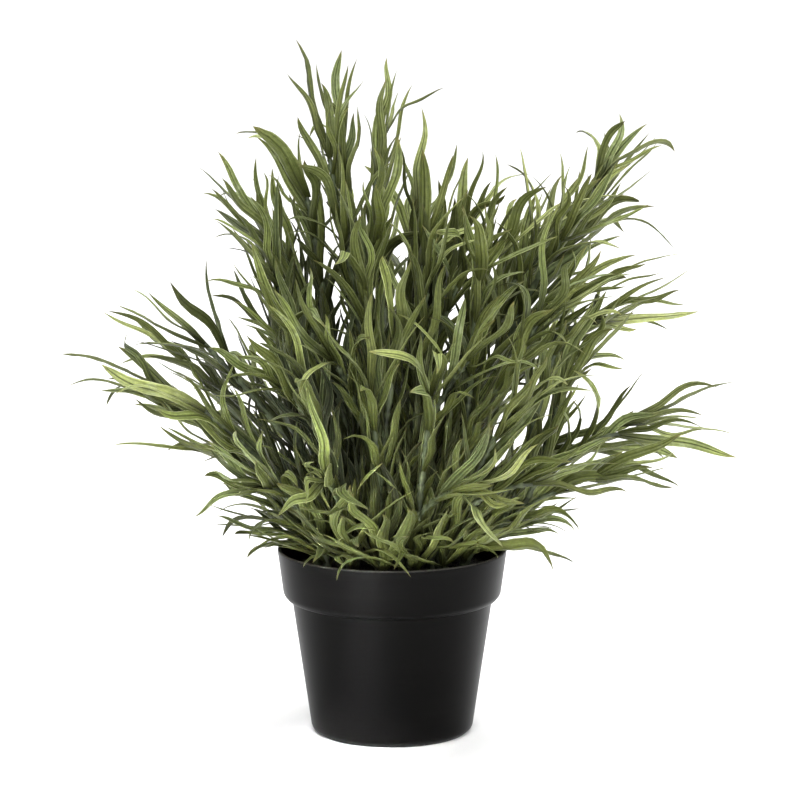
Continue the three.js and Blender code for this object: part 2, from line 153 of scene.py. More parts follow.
# %% [markdown]
# ## Helpers for node trees
#
# Materials and Geometry Nodes trees are both built from code. One small class keeps that
# readable: it adds a node, sets its values by socket name and links what it is given. Its other
# methods are the steps that the trees repeat.


# %% Node helpers
class Tree:
    """Adds nodes to a tree; a value that is a socket is linked, anything else is set."""

    def __init__(self, tree):
        self.tree = tree

    def add(self, kind, values=None, **settings):
        node = self.tree.nodes.new(kind)
        for key, value in settings.items():
            setattr(node, key, value)
        for key, value in (values or {}).items():
            self.put(node.inputs[key], value)
        return node

    def put(self, socket, value):
        if isinstance(value, bpy.types.NodeSocket):
            self.tree.links.new(value, socket)
        else:
            socket.default_value = value

    def math(self, operation, *values):
        node = self.add("ShaderNodeMath", operation=operation)
        for socket, value in zip(node.inputs, values):
            self.put(socket, value)
        return node.outputs["Value"]

    def running(self, operation, values):
        result = values[0]
        for value in values[1:]:
            result = self.math(operation, result, value)
        return result

    def product(self, *values):
        return self.running("MULTIPLY", values)

    def total(self, *values):
        return self.running("ADD", values)

    def away_from(self, value, centre):
        return self.math("ABSOLUTE", self.math("SUBTRACT", value, centre))

    def ramp(self, value, limits):
        """Runs smoothly between two values, from 0 to 1 or from the third limit to the fourth."""
        node = self.add("ShaderNodeMapRange", {"Value": value}, interpolation_type="SMOOTHSTEP")
        for key, limit in zip(("From Min", "From Max", "To Min", "To Max"), limits):
            self.put(node.inputs[key], limit)
        return node.outputs["Result"]

    def mix(self, share, below, above):
        node = self.add("ShaderNodeMix", {"Factor": share}, data_type="RGBA")
        for key, color in (("A", below), ("B", above)):
            self.put([s for s in node.inputs if s.name == key and s.type == "RGBA"][0], color)
        return [s for s in node.outputs if s.type == "RGBA"][0]

    def noise(self, place, scale, detail, roughness):
        node = self.add(
            "ShaderNodeTexNoise",
            {"Vector": place, "Scale": scale, "Detail": detail, "Roughness": roughness},
        )
        return node.outputs["Fac"]

    def point(self, x, y, z):
        return self.add("ShaderNodeCombineXYZ", {"X": x, "Y": y, "Z": z}).outputs["Vector"]

    def scaled(self, vector, factor):
        node = self.add("ShaderNodeVectorMath", {0: vector, "Scale": factor}, operation="SCALE")
        return node.outputs["Vector"]

    def attribute(self, name):
        return self.add("ShaderNodeAttribute", attribute_name=name).outputs["Fac"]

    def bump(self, height, distance, strength):
        values = {"Height": height, "Distance": distance, "Strength": strength}
        return self.add("ShaderNodeBump", values).outputs["Normal"]


def group_sockets(tree, inputs, outputs):
    """Declares a node group's sockets, with the starting value of each input."""
    for name, kind, value in inputs:
        socket = tree.interface.new_socket(name, in_out="INPUT", socket_type=kind)
        if value is not None:
            socket.default_value = value
    for name, kind in outputs:
        tree.interface.new_socket(name, in_out="OUTPUT", socket_type=kind)


def new_material(name):
    """A material, its tree, the place on the object and the sockets of its surface."""
    material = bpy.data.materials.new(name)
    material.use_nodes = True
    tree = Tree(material.node_tree)
    place = tree.add("ShaderNodeTexCoord").outputs["Object"]
    return material, tree, place, material.node_tree.nodes["Principled BSDF"].inputs


# %% [markdown]
# ## How a leaf is coloured
#
# A lavender leaf is narrow and grey-green, with a pale rolled margin on each side of a sunken
# midrib and fine ridges along it. The blades carry their own coordinates as attributes:
# `across` runs from -1 to 1 between the margins, `along` from root to tip, `upper` tells the
# two faces apart, and `tone` is one value for the whole leaf, lower for leaves deep in the bush.
# They decide where each of nine colours shows and how strongly, so that the pattern is the same
# on every leaf but its tint is not. Part of it is painted light: painted shade darkens each
# leaf's root, its sunken midrib and grooves, its underside and the leaves deep in the bush, and
# a painted highlight pales its ridges.

# %% Leaf colours
# The darkest colour: the leaf's dark streaks, and painted shade at its root, midrib and grooves
LEAF_DARK_AND_PAINTED_SHADE = (0.020, 0.024, 0.003, 1.0)
LEAF_MID = (0.160, 0.200, 0.046, 1.0)
LEAF_GREY = (0.088, 0.120, 0.044, 1.0)
LEAF_WARM = (0.345, 0.385, 0.120, 1.0)
# The pale colour of the margins, also laid on the ridges as a painted highlight
LEAF_MARGIN_AND_RIDGE_HIGHLIGHT = (0.500, 0.530, 0.270, 1.0)
LEAF_PALE = (0.400, 0.450, 0.270, 1.0)
LEAF_BLUE = (0.096, 0.136, 0.062, 1.0)
# Painted shade on the underside of the leaf
LEAF_UNDER_SHADE = (0.068, 0.080, 0.018, 1.0)
LEAF_DRY = (0.300, 0.220, 0.070, 1.0)
RIDGES = 9.0
RIDGE_PLACE, GROOVE_PLACE = 0.34, 0.6
SECOND_DRAW = 57.0

# Scale, detail and roughness of each noise
LEAF_NOISES = {
    "streaks": (1.0, 4.0, 0.6),
    "fibres": (1.0, 2.0, 0.6),
    "mottle": (420.0, 3.0, 0.6),
    "patches": (34.0, 2.0, 0.5),
    "blotches": (95.0, 3.0, 0.65),
}
# How far noise is squeezed across a leaf and along it, and moved on from leaf to leaf
STREAK_STRETCH = (2.8, 1.6, 37.0)
FIBRE_STRETCH = (13.0, 2.6, 71.0)

# Each ramp runs between two values, from 0 to 1 or from the third number to the fourth
LEAF_RAMPS = {
    "margin": (0.80, 0.93),
    "midrib": (0.04, 0.17, 1.0, 0.0),
    "groove": (0.03, 0.14, 1.0, 0.0),
    "ridge": (0.02, 0.16, 1.0, 0.0),
    # Painted shade: darker towards the leaf's root
    "base": (0.0, 0.55, 1.0, 0.0),
    "tip": (0.86, 1.0),
    "green tone": (0.0, 0.45),
    "warm tone": (0.55, 1.0),
    "blue tone": (0.5, 1.0, 0.0, 0.55),
    "grey patches": (0.5, 0.7, 0.0, 0.5),
    "warm patches": (0.3, 0.48, 0.34, 0.0),
    "pale blotches": (0.52, 0.72, 0.0, 0.42),
    "dark streaks": (0.34, 0.6, 0.5, 0.0),
    # Painted shade: the under face is darker
    "painted under shade": (-0.3, 0.3, 0.7, 0.0),
    "dry tip": (0.45, 0.65, 0.1, 0.6),
    "mottle": (0.3, 0.72, 0.84, 1.18),
    "fibres": (0.32, 0.68, 0.8, 1.2),
    # Painted shade: leaves of low tone, deep in the bush, are darker
    "tone": (0.14, 0.62, 0.3, 1.13),
    "roughness": (0.3, 0.7, 0.30, 0.60),
}

# How strongly each part is tinted, and how far it stands out of the face; the ridge's tint is a
# painted highlight, and those of the midrib, groove and base are painted shade
LEAF_TINTS = {"ridge": 0.1, "midrib": 0.7, "groove": 0.2, "margin": 0.46, "base": 0.88}
LEAF_RELIEF = {"waves": 0.16, "streaks": 0.8, "midrib": -0.9, "groove": -0.6, "mottle": 0.35}
print(f"leaf colours: {len(LEAF_RAMPS)} ramps and {len(LEAF_NOISES)} noises place them")

# %% [markdown]
# The pattern is one node group. It makes a mask for every part of the leaf and lays the colours
# over each other, the leaf's own tint first and the dry tip last. The same masks raise the
# ridges and sink the midrib in a height for the bump.


# %% Leaf pattern group
def build_leaf_pattern():
    group = bpy.data.node_groups.new("leaf_pattern", "ShaderNodeTree")
    group_sockets(
        group,
        [("Position", "NodeSocketVector", None), ("Ridges", "NodeSocketFloat", RIDGES)],
        [
            ("Color", "NodeSocketColor"),
            ("Roughness", "NodeSocketFloat"),
            ("Height", "NodeSocketFloat"),
        ],
    )
    tree = Tree(group)
    given = tree.add("NodeGroupInput").outputs
    across, along = tree.attribute("across"), tree.attribute("along")
    upper, tone = tree.attribute("upper"), tree.attribute("tone")

    def ramp(name, value):
        return tree.ramp(value, LEAF_RAMPS[name])

    def stretched(stretch):
        return tree.point(*(tree.product(*pair) for pair in zip((across, along, tone), stretch)))

    side = tree.math("ABSOLUTE", across)
    parts = {
        "margin": ramp("margin", side),
        "midrib": ramp("midrib", side),
        "groove": ramp("groove", tree.away_from(side, GROOVE_PLACE)),
        "ridge": ramp("ridge", tree.away_from(side, RIDGE_PLACE)),
        "base": ramp("base", along),
        "tip": ramp("tip", along),
        "waves": tree.math("SINE", tree.product(across, given["Ridges"])),
        "streaks": tree.noise(stretched(STREAK_STRETCH), *LEAF_NOISES["streaks"]),
        "mottle": tree.noise(given["Position"], *LEAF_NOISES["mottle"]),
    }
    fibres = tree.noise(stretched(FIBRE_STRETCH), *LEAF_NOISES["fibres"])
    patches = tree.noise(given["Position"], *LEAF_NOISES["patches"])
    blotches = tree.noise(given["Position"], *LEAF_NOISES["blotches"])

    def tint(part):
        return tree.product(parts[part], LEAF_TINTS[part])

    # Each leaf has its own tint, from cool grey-green to warm yellow-green; the rest lies over it.
    # Leaves deep in the bush get the cool grey tint, as painted shade
    color = tree.mix(ramp("green tone", tone), LEAF_GREY, LEAF_MID)
    layers = [
        (ramp("warm tone", tone), LEAF_WARM),
        (ramp("blue tone", tree.math("FRACT", tree.product(tone, SECOND_DRAW))), LEAF_BLUE),
        (ramp("grey patches", patches), LEAF_GREY),
        (ramp("warm patches", patches), LEAF_WARM),
        (ramp("pale blotches", blotches), LEAF_PALE),
        (ramp("dark streaks", parts["streaks"]), LEAF_DARK_AND_PAINTED_SHADE),
        # Painted highlight: the ridges are paler
        (tint("ridge"), LEAF_MARGIN_AND_RIDGE_HIGHLIGHT),
        # Painted shade: the sunken midrib and grooves are darkened
        (tint("midrib"), LEAF_DARK_AND_PAINTED_SHADE),
        (tint("groove"), LEAF_DARK_AND_PAINTED_SHADE),
        (tint("margin"), LEAF_MARGIN_AND_RIDGE_HIGHLIGHT),
        # Painted shade: the underside is darker
        (ramp("painted under shade", upper), LEAF_UNDER_SHADE),
        # Painted shade: darker towards the root, where the leaf stands deep in the bush
        (tint("base"), LEAF_DARK_AND_PAINTED_SHADE),
        (tree.product(parts["tip"], ramp("dry tip", parts["streaks"])), LEAF_DRY),
    ]
    for share, above in layers:
        color = tree.mix(share, color, above)
    # The brightness falls with tone: painted shade on the leaves deep in the bush
    light = tree.product(ramp("mottle", parts["mottle"]), ramp("fibres", fibres), ramp("tone", tone))
    relief = [tree.product(parts[part], height) for part, height in LEAF_RELIEF.items()]
    tree.add(
        "NodeGroupOutput",
        {
            "Color": tree.scaled(color, light),
            "Roughness": ramp("roughness", parts["mottle"]),
            "Height": tree.total(*relief),
        },
    )
    return group


leaf_pattern = build_leaf_pattern()
print(f"leaf pattern: {len(leaf_pattern.nodes)} nodes")

# %% [markdown]
# The material hands the pattern the place on the object, and its height becomes a bump.

# %% Leaf material
LEAF_BUMP_DISTANCE, LEAF_BUMP_STRENGTH = 0.00045, 0.9
LEAF_SPECULAR = 0.25


def build_leaf_material():
    material, tree, place, surface = new_material("lavender_leaf")
    pattern = tree.add("ShaderNodeGroup", node_tree=leaf_pattern)
    tree.put(pattern.inputs["Position"], place)
    tree.put(surface["Base Color"], pattern.outputs["Color"])
    tree.put(surface["Roughness"], pattern.outputs["Roughness"])
    bump = tree.bump(pattern.outputs["Height"], LEAF_BUMP_DISTANCE, LEAF_BUMP_STRENGTH)
    tree.put(surface["Normal"], bump)
    surface["Specular IOR Level"].default_value = LEAF_SPECULAR
    return material


leaf_material = build_leaf_material()
print("leaf material: margins, midrib, streaks, mottle and one tint for each leaf")

# %% [markdown]
# ## Stems
#
# The thin stems are dark olive, greyer and paler where they thicken towards the soil, and
# greener on the cups that the leaves stand in. `thick` and `cup` are values on their points.

# %% Stem material
STEM_DARK = (0.022, 0.026, 0.014, 1.0)
STEM_GREEN = (0.060, 0.080, 0.038, 1.0)
STEM_GREY = (0.072, 0.086, 0.050, 1.0)
SHEATH = (0.085, 0.108, 0.046, 1.0)
SHEATH_SHARE = 0.85
BARK_GRAIN = (420.0, 4.0, 0.6)
BARK_PATCHES = (40.0, 2.0, 0.5)
BARK_BUMP_DISTANCE = 0.0002
STEM_RAMPS = {
    "green": (0.3, 0.7),
    "thick": (0.35, 1.0, 0.0, 0.8),
    "spots": (0.3, 0.7, 0.75, 1.2),
    "roughness": (0.2, 0.8, 0.45, 0.7),
}


def build_stem_material():
    material, tree, place, surface = new_material("lavender_stem")
    fine = tree.noise(place, *BARK_GRAIN)
    wide = tree.noise(place, *BARK_PATCHES)
    bark = tree.mix(tree.ramp(wide, STEM_RAMPS["green"]), STEM_DARK, STEM_GREEN)
    aged = tree.mix(tree.ramp(tree.attribute("thick"), STEM_RAMPS["thick"]), bark, STEM_GREY)
    cupped = tree.mix(tree.product(tree.attribute("cup"), SHEATH_SHARE), aged, SHEATH)
    tree.put(surface["Base Color"], tree.scaled(cupped, tree.ramp(fine, STEM_RAMPS["spots"])))
    tree.put(surface["Roughness"], tree.ramp(fine, STEM_RAMPS["roughness"]))
    tree.put(surface["Normal"], tree.bump(fine, BARK_BUMP_DISTANCE, 1.0))
    return material


stem_material = build_stem_material()
print("stem material: bark, grey where it is thick, green on the cups")

# %% [markdown]
# ## Pot
#
# The pot is black moulded plastic: nearly smooth, with a fine grain and faint rings from
# handling and stacking. A painted highlight pales the top of its lip, broken up by the grain.
# The rings are noise that is stretched round the pot.

# %% Pot material
POT_BLACK = (0.0012, 0.0011, 0.0010, 1.0)
POT_SCUFF = (0.0040, 0.0038, 0.0034, 1.0)
# Painted highlight along the top of the rim
POT_LIP_HIGHLIGHT = (0.055, 0.052, 0.046, 1.0)
POT_SPECULAR = 0.054
POT_NOISES = {
    "grain": (900.0, 3.0, 0.6),
    "cloud": (22.0, 4.0, 0.6),
    "rings": (1.0, 3.0, 0.6),
}
RING_STRETCH = (6.0, 6.0, 190.0)
RING_ROUGHNESS = 0.06
POT_RELIEF = {"grain": 0.5, "rings": 0.2}
POT_BUMP_DISTANCE, POT_BUMP_STRENGTH = 0.00008, 0.5
POT_RAMPS = {
    "scuffs": (0.45, 0.8),
    "scuffed rings": (0.4, 0.75),
    # Painted highlight: paler over the top of the rim
    "lip": (POT_HEIGHT - 0.9 * MM, POT_HEIGHT - 0.2 * MM, 0.0, 0.8),
    "lip highlight breakup": (0.3, 0.6, 0.3, 1.0),
    "roughness": (0.3, 0.75, 0.31, 0.35),
}


def build_pot_material():
    material, tree, place, surface = new_material("black_pot")

    def ramp(name, value):
        return tree.ramp(value, POT_RAMPS[name])

    grain = tree.noise(place, *POT_NOISES["grain"])
    cloud = tree.noise(place, *POT_NOISES["cloud"])
    squeezed = tree.add("ShaderNodeVectorMath", {0: place, 1: RING_STRETCH}, operation="MULTIPLY")
    rings = tree.noise(squeezed.outputs["Vector"], *POT_NOISES["rings"])
    scuff = tree.product(ramp("scuffs", cloud), ramp("scuffed rings", rings))
    height_up = tree.add("ShaderNodeSeparateXYZ", {"Vector": place}).outputs["Z"]
    # A painted highlight on the lip, broken up by the grain
    lip = tree.product(ramp("lip", height_up), ramp("lip highlight breakup", grain))
    color = tree.mix(lip, tree.mix(scuff, POT_BLACK, POT_SCUFF), POT_LIP_HIGHLIGHT)
    rough = tree.total(ramp("roughness", cloud), tree.product(rings, RING_ROUGHNESS))
    relief = tree.total(
        tree.product(grain, POT_RELIEF["grain"]), tree.product(rings, POT_RELIEF["rings"]),
    )
    tree.put(surface["Base Color"], color)
    tree.put(surface["Roughness"], rough)
    tree.put(surface["Normal"], tree.bump(relief, POT_BUMP_DISTANCE, POT_BUMP_STRENGTH))
    surface["Specular IOR Level"].default_value = POT_SPECULAR
    return material


pot_material = build_pot_material()
print("pot material: black with faint rings and a paler lip")

# %% [markdown]
# ## Soil and floor
#
# Potting soil is almost black when damp, with brown clods and paler fibres. The floor is plain
# and pale, with a haze too faint to see, so that it isn't one flat colour.

# %% Soil and floor materials
SOIL_DARK = (0.0045, 0.0034, 0.0026, 1.0)
SOIL_BROWN = (0.022, 0.015, 0.010, 1.0)
SOIL_FIBRE = (0.120, 0.085, 0.050, 1.0)
SOIL_CLODS = (260.0, 5.0, 0.7)
SOIL_FIBRES = (900.0, 3.0, 0.6)
SOIL_FIBRE_RELIEF = 0.3
SOIL_BUMP_DISTANCE = 0.0015
SOIL_RAMPS = {
    "brown": (0.35, 0.7),
    "fibres": (0.62, 0.72, 0.0, 0.7),
    "roughness": (0.2, 0.8, 0.85, 1.0),
}
FLOOR_COLORS = ((0.87, 0.87, 0.87, 1.0), (0.90, 0.90, 0.90, 1.0))
FLOOR_HAZE = (1.5, 2.0, 0.5)
FLOOR_RAMP = (0.3, 0.7)
FLOOR_ROUGHNESS = 0.9


def build_soil_material():
    material, tree, place, surface = new_material("potting_soil")
    clods = tree.noise(place, *SOIL_CLODS)
    fibres = tree.noise(place, *SOIL_FIBRES)
    color = tree.mix(tree.ramp(clods, SOIL_RAMPS["brown"]), SOIL_DARK, SOIL_BROWN)
    color = tree.mix(tree.ramp(fibres, SOIL_RAMPS["fibres"]), color, SOIL_FIBRE)
    relief = tree.total(clods, tree.product(fibres, SOIL_FIBRE_RELIEF))
    tree.put(surface["Base Color"], color)
    tree.put(surface["Roughness"], tree.ramp(clods, SOIL_RAMPS["roughness"]))
    tree.put(surface["Normal"], tree.bump(relief, SOIL_BUMP_DISTANCE, 1.0))
    return material


def build_floor_material():
    material, tree, place, surface = new_material("pale_floor")
    haze = tree.ramp(tree.noise(place, *FLOOR_HAZE), FLOOR_RAMP)
    tree.put(surface["Base Color"], tree.mix(haze, *FLOOR_COLORS))
    surface["Roughness"].default_value = FLOOR_ROUGHNESS
    return material


soil_material = build_soil_material()
floor.data.materials.append(build_floor_material())
print("soil and floor materials: damp clods with fibres, and a pale floor")

# %% [markdown]
# ## The stems' rows
#
# Each row is one stem that stands in the soil: the compass angle and reach of its foot, the
# angle, reach and height of its leading end, and the side sprigs with the share of the stem at
# which they fork off. They repeat the CAD source, so that the fine leaves stand where its
# blades stand. An angle of 0 is +X and 270 faces the camera; reaches and heights are
# millimetres.

# %% Stem rows
STEM_ROWS = [
    # The low, wide-spreading stems of the outer ring, from the left wing round to the back
    ((184, 39), (182, 118, 181), [(0.3, (192, 89, 150))]),
    ((210, 39), (209, 108, 179), [(0.3, (220, 85, 140))]),
    ((236, 39), (238, 80, 194), [(0.3, (246, 82, 148))]),
    ((262, 39), (262, 72, 190), [(0.35, (272, 60, 214))]),
    ((288, 39), (286, 74, 190), [(0.3, (296, 84, 142))]),
    ((313, 39), (311, 92, 182), [(0.3, (322, 91, 142))]),
    ((339, 39), (340, 108, 142), [(0.35, (334, 93, 208)), (0.5, (345, 96, 195))]),
    ((4, 39), (2, 122, 163), [(0.35, (353, 119, 161))]),
    ((30, 39), (28, 108, 198), [(0.3, (18, 103, 146))]),
    ((56, 39), (54, 110, 172), [(0.35, (44, 103, 202))]),
    ((82, 39), (80, 108, 166), [(0.35, (90, 86, 198))]),
    ((107, 39), (106, 112, 170), [(0.3, (116, 92, 138))]),
    ((132, 39), (132, 105, 171), [(0.35, (141, 76, 204))]),
    ((158, 39), (160, 112, 186), [(0.3, (150, 96, 157))]),
    # The middle ring, which leans half way out
    ((176, 24), (182, 97, 206), [(0.4, (196, 61, 240))]),
    ((217, 24), (220, 66, 215), [(0.35, (228, 84, 194))]),
    ((254, 24), (254, 50, 240), [(0.35, (244, 66, 206))]),
    ((292, 24), (290, 52, 244), [(0.35, (302, 72, 206))]),
    ((328, 24), (328, 88, 224), [(0.4, (312, 66, 246))]),
    ((6, 24), (6, 107, 288), [(0.4, (356, 104, 219)), (0.55, (350, 89, 263)), (0.62, (15, 104, 266))]),
    ((50, 24), (48, 88, 236), [(0.4, (32, 95, 247))]),
    ((94, 24), (94, 76, 234), [(0.35, (78, 74, 204))]),
    ((136, 24), (138, 73, 236), [(0.4, (154, 66, 253))]),
    # The tall stems of the crown
    ((180, 10), (176, 60, 252), [(0.45, (196, 46, 287))]),
    ((240, 10), (206, 36, 306), [(0.5, (256, 34, 264))]),
    ((300, 10), (305, 30, 255), [(0.45, (322, 46, 244))]),
    ((0, 10), (358, 74, 258), [(0.5, (352, 50, 250)), (0.36, (350, 99, 236))]),
    ((60, 10), (70, 36, 268), [(0.5, (30, 40, 258))]),
    ((120, 10), (156, 28, 307), [(0.55, (98, 42, 308))]),
]
print(f"rows: {len(STEM_ROWS)} stems with {sum(len(forks) for *_, forks in STEM_ROWS)} side sprigs")

# %% [markdown]
# ## The sprigs' curves
#
# A stem rises upright out of its hole and bends outwards, and a side sprig leaves it half way
# between the stem's direction and its own. Each of them is one cubic curve, measured along its
# length, so that leaves can be placed by distance.

# %% Sprigs
# How a sprig bends: pulls are shares of its chord, flattening a share of the way to level
LEANING_START_PULL = 0.02
UPRIGHT_START_PULL = 0.33
FORK_START_PULL = 0.3
END_PULL = 0.33
END_FLATTENING = 0.35
UPRIGHT_START = 3 * MM
STEM_IN_SOIL = 15.7 * MM

STEM_BASE_RADIUS = 2.3 * MM
FORK_RADIUS = 1.7 * MM
STEM_END_RADIUS = 1.2 * MM
CURVE_STEPS = 200
TANGENT_STEP = 0.0001


def place_at(angle, reach, height):
    turn = math.radians(angle)
    return np.array([reach * math.cos(turn), reach * math.sin(turn), height]) * MM


def blend(first, second, share):
    return first + (second - first) * share


def unit(vector):
    return vector / np.linalg.norm(vector)


def bezier(points, share):
    """The point of a cubic curve at a share of its parameter."""
    rest = 1 - share
    return (
        rest**3 * points[0]
        + 3 * rest * rest * share * points[1]
        + 3 * rest * share * share * points[2]
        + share**3 * points[3]
    )


def bezier_tangent(points, share):
    before, after = max(share - TANGENT_STEP, 0.0), min(share + TANGENT_STEP, 1.0)
    return unit(bezier(points, after) - bezier(points, before))


class Sprig:
    """One leafy axis of a stem, measured along its length."""

    def __init__(self, stem, index, points, angle, first_whorl, radius, over_rim):
        self.stem, self.index, self.points = stem, index, points
        self.outward = place_at(angle, 1, 0) / MM
        self.first_whorl, self.radius, self.over_rim = first_whorl, radius, over_rim
        steps = np.arange(CURVE_STEPS + 1) / CURVE_STEPS
        path = np.array([bezier(points, step) for step in steps])
        gaps = np.linalg.norm(np.diff(path, axis=0), axis=1)
        self.steps, self.reached = steps, np.concatenate([[0.0], np.cumsum(gaps)])
        self.length = self.reached[-1]

    def parameter(self, share):
        return float(np.interp(share * self.length, self.reached, self.steps))

    def at(self, share):
        return bezier(self.points, self.parameter(share))

    def tangent(self, share):
        return bezier_tangent(self.points, self.parameter(share))

    def stem_radius(self, share):
        return blend(self.radius, STEM_END_RADIUS, math.sqrt(share))


def sprig_points(start, start_direction, end, start_pull):
    chord = end - start
    length = np.linalg.norm(chord)
    flat = unit(np.array([chord[0], chord[1], 0.0]))
    elevation = math.asin(chord[2] / length)
    end_elevation = elevation - END_FLATTENING * (math.pi / 2 - elevation)
    end_direction = flat * math.cos(end_elevation) + UP * math.sin(end_elevation)
    return np.array([
        start,
        start + start_direction * start_pull * length,
        end - end_direction * END_PULL * length,
        end,
    ])


FIRST_WHORL_ABOVE_SOIL = 9 * MM
FIRST_WHORL_PAST_FORK = 17 * MM


def sprigs_of(number, row):
    foot, leading_end, forks = row
    start = place_at(*foot, 0) + UP * (SOIL_TOP + UPRIGHT_START)
    end = place_at(*leading_end)
    steepness = (end[2] - start[2]) / np.linalg.norm(end - start)
    pull = blend(LEANING_START_PULL, UPRIGHT_START_PULL, steepness * steepness)
    over_rim = foot[1] * MM > RIM_RADIUS / 2
    leading = Sprig(
        number, 0, sprig_points(start, UP, end, pull), leading_end[0],
        FIRST_WHORL_ABOVE_SOIL, STEM_BASE_RADIUS, over_rim,
    )
    made = [leading]
    for order, (share, fork_end) in enumerate(forks):
        fork = leading.at(share)
        tip = place_at(*fork_end)
        direction = unit(unit(tip - fork) + leading.tangent(share))
        points = sprig_points(fork, direction, tip, FORK_START_PULL)
        made.append(Sprig(
            number, order + 1, points, fork_end[0], FIRST_WHORL_PAST_FORK, FORK_RADIUS, False,
        ))
    return made


all_sprigs = [sprigs_of(number, row) for number, row in enumerate(STEM_ROWS)]
flat_sprigs = [sprig for sprigs in all_sprigs for sprig in sprigs]
print(f"stems: {len(all_sprigs)} with {len(flat_sprigs)} sprigs, "
      f"{sum(s.length for s in flat_sprigs):.2f} m of stem")

# %% [markdown]
# ## Whorls and draws
#
# Leaves stand in whorls of five, turned a little from whorl to whorl, and every sprig ends in a
# last whorl at its tip. The draws come from one small generator with a seed for every leaf, so
# the bush is the same each time and the same as in the CAD source.

# %% Whorls and draws
WHORL_SPACING = 25 * MM
LEAST_WHORLS = 2
WORD = 0xFFFFFFFF
STRIDE = 0x6D2B79F5


def random_from(seed):
    """Random numbers from one whole number, the same on every run."""
    state = seed & WORD

    def draw():
        nonlocal state
        state = (state + STRIDE) & WORD
        mixed = ((state ^ (state >> 15)) * (state | 1)) & WORD
        mixed ^= (mixed + (((mixed ^ (mixed >> 7)) * (mixed | 61)) & WORD)) & WORD
        return ((mixed ^ (mixed >> 14)) & WORD) / (WORD + 1)

    return draw


def between(draw, low, high):
    return low + (high - low) * draw()


def seldom_high(draw, low, high):
    return low + (high - low) * draw() ** 3


def whorls_of(sprig):
    leafy = sprig.length - sprig.first_whorl
    count = max(LEAST_WHORLS, math.floor(leafy / WHORL_SPACING + 0.5))
    whorls = []
    for order in range(count + 1):
        along = sprig.first_whorl + leafy * order / count
        whorls.append({"order": order, "share": min(along / sprig.length, 1), "last": order == count})
    return whorls


print(f"whorls: {sum(len(whorls_of(sprig)) for sprig in flat_sprigs)}")

# %% [markdown]
# ## One leaf
#
# A leaf is a cubic curve of three parts from its root: it leaves the stem at a small angle,
# bends away from it in the middle and hangs or sways at the tip. All angles and sizes are drawn
# between limits, which are degrees and metres. Its outline is the one that the CAD blades have.

# %% One leaf
WHORL_LEAVES = 5
WHORL_TURN = 37
END_PAIR_SETBACK = 4 * MM

LEAF = {
    "low_length": 67 * MM,
    "end_length": 55 * MM,
    "length_range": (0.78, 1.2),
    "width_share": 0.094,
    "width_range": (0.76, 1.16),
    "least_depth": 1.1 * MM,
    "spread": (4, 20),
    "rim_spread": (18, 46),
    "end_spread": (2, 8),
    "end_spread_step": 6,
    "turn_jitter": 26,
    "recurve": (-16, 88),
    "sway": 16,
    "tip_sway": 30,
    "droop": (0, 0.55),
    "twist": 30,
}
# The shares of a leaf's length from its root to its first bend, to its second and to its tip,
# and the share of its recurve that it has between the two bends
LEAF_PARTS = (0.36, 0.34, 0.3)
EARLY_RECURVE = 0.3
BLADE_BASE, BLADE_SWELL, BLADE_POINT = 0.16, 2.3, 3


def draw_leaf(sprig, whorl, number, draw):
    tangent = sprig.tangent(whorl["share"])
    outward = unit(sprig.outward - tangent * (sprig.outward @ tangent))
    across = np.cross(tangent, outward)
    leading = whorl["last"] and number == 0
    ordered = 0 if leading else whorl["order"] * WHORL_TURN + number * 360 / WHORL_LEAVES
    turn = math.radians(ordered + between(draw, -LEAF["turn_jitter"], LEAF["turn_jitter"]))
    away = outward * math.cos(turn) + across * math.sin(turn)
    aside = np.cross(tangent, away)

    end_spread = between(draw, *LEAF["end_spread"]) + LEAF["end_spread_step"] * number
    lowest = whorl["order"] == 0 and sprig.over_rim
    side_spread = between(draw, *LEAF["rim_spread" if lowest else "spread"])
    spread = end_spread if whorl["last"] else side_spread
    recurve = seldom_high(draw, *LEAF["recurve"])
    sway = between(draw, -LEAF["sway"], LEAF["sway"])
    tip_sway = between(draw, -LEAF["tip_sway"], LEAF["tip_sway"])
    droop = seldom_high(draw, *LEAF["droop"])
    length = blend(LEAF["low_length"], LEAF["end_length"], whorl["share"])
    length *= between(draw, *LEAF["length_range"])
    width = length * LEAF["width_share"] * between(draw, *LEAF["width_range"])
    twist = between(draw, -LEAF["twist"], LEAF["twist"])

    def heading(bend, slip):
        bend, slip = math.radians(bend), math.radians(slip)
        return unit(tangent * math.cos(bend) + away * math.sin(bend) + aside * math.tan(slip))

    set_back = END_PAIR_SETBACK / sprig.length if whorl["last"] and not leading else 0
    root = sprig.at(whorl["share"] - set_back)
    to_first, to_second, to_tip = (length * part for part in LEAF_PARTS)
    first = root + heading(spread, 0) * to_first
    second = first + heading(spread + recurve * EARLY_RECURVE, sway) * to_second
    tip = second + unit(heading(spread + recurve, tip_sway) - UP * droop) * to_tip
    return {
        "stem": sprig.stem, "points": np.array([root, first, second, tip]), "aside": aside,
        "width": width, "twist": twist, "youth": whorl["share"],
    }


def half_width(leaf, share):
    swell = min(1, BLADE_BASE + BLADE_SWELL * share) * math.sqrt(max(0, 1 - share**BLADE_POINT))
    return 0.5 * leaf["width"] * swell


shortest = LEAF["end_length"] * LEAF["length_range"][0]
longest = LEAF["low_length"] * LEAF["length_range"][1]
print(f"leaf: {shortest / MM:.0f} to {longest / MM:.0f} mm long")

# %% [markdown]
# ## Room for every leaf
#
# A leaf is kept if it clears the pot, the stems and the leaves that are already there;
# otherwise it is drawn again, and after some tries its place stays empty. Leaves and stems are
# rows of balls for this test, sorted into cubes so that only near ones are looked at. The
# leaves of the CAD frame grow first and in its order. The rest then fill the whorls, and are
# let closer to their neighbours.

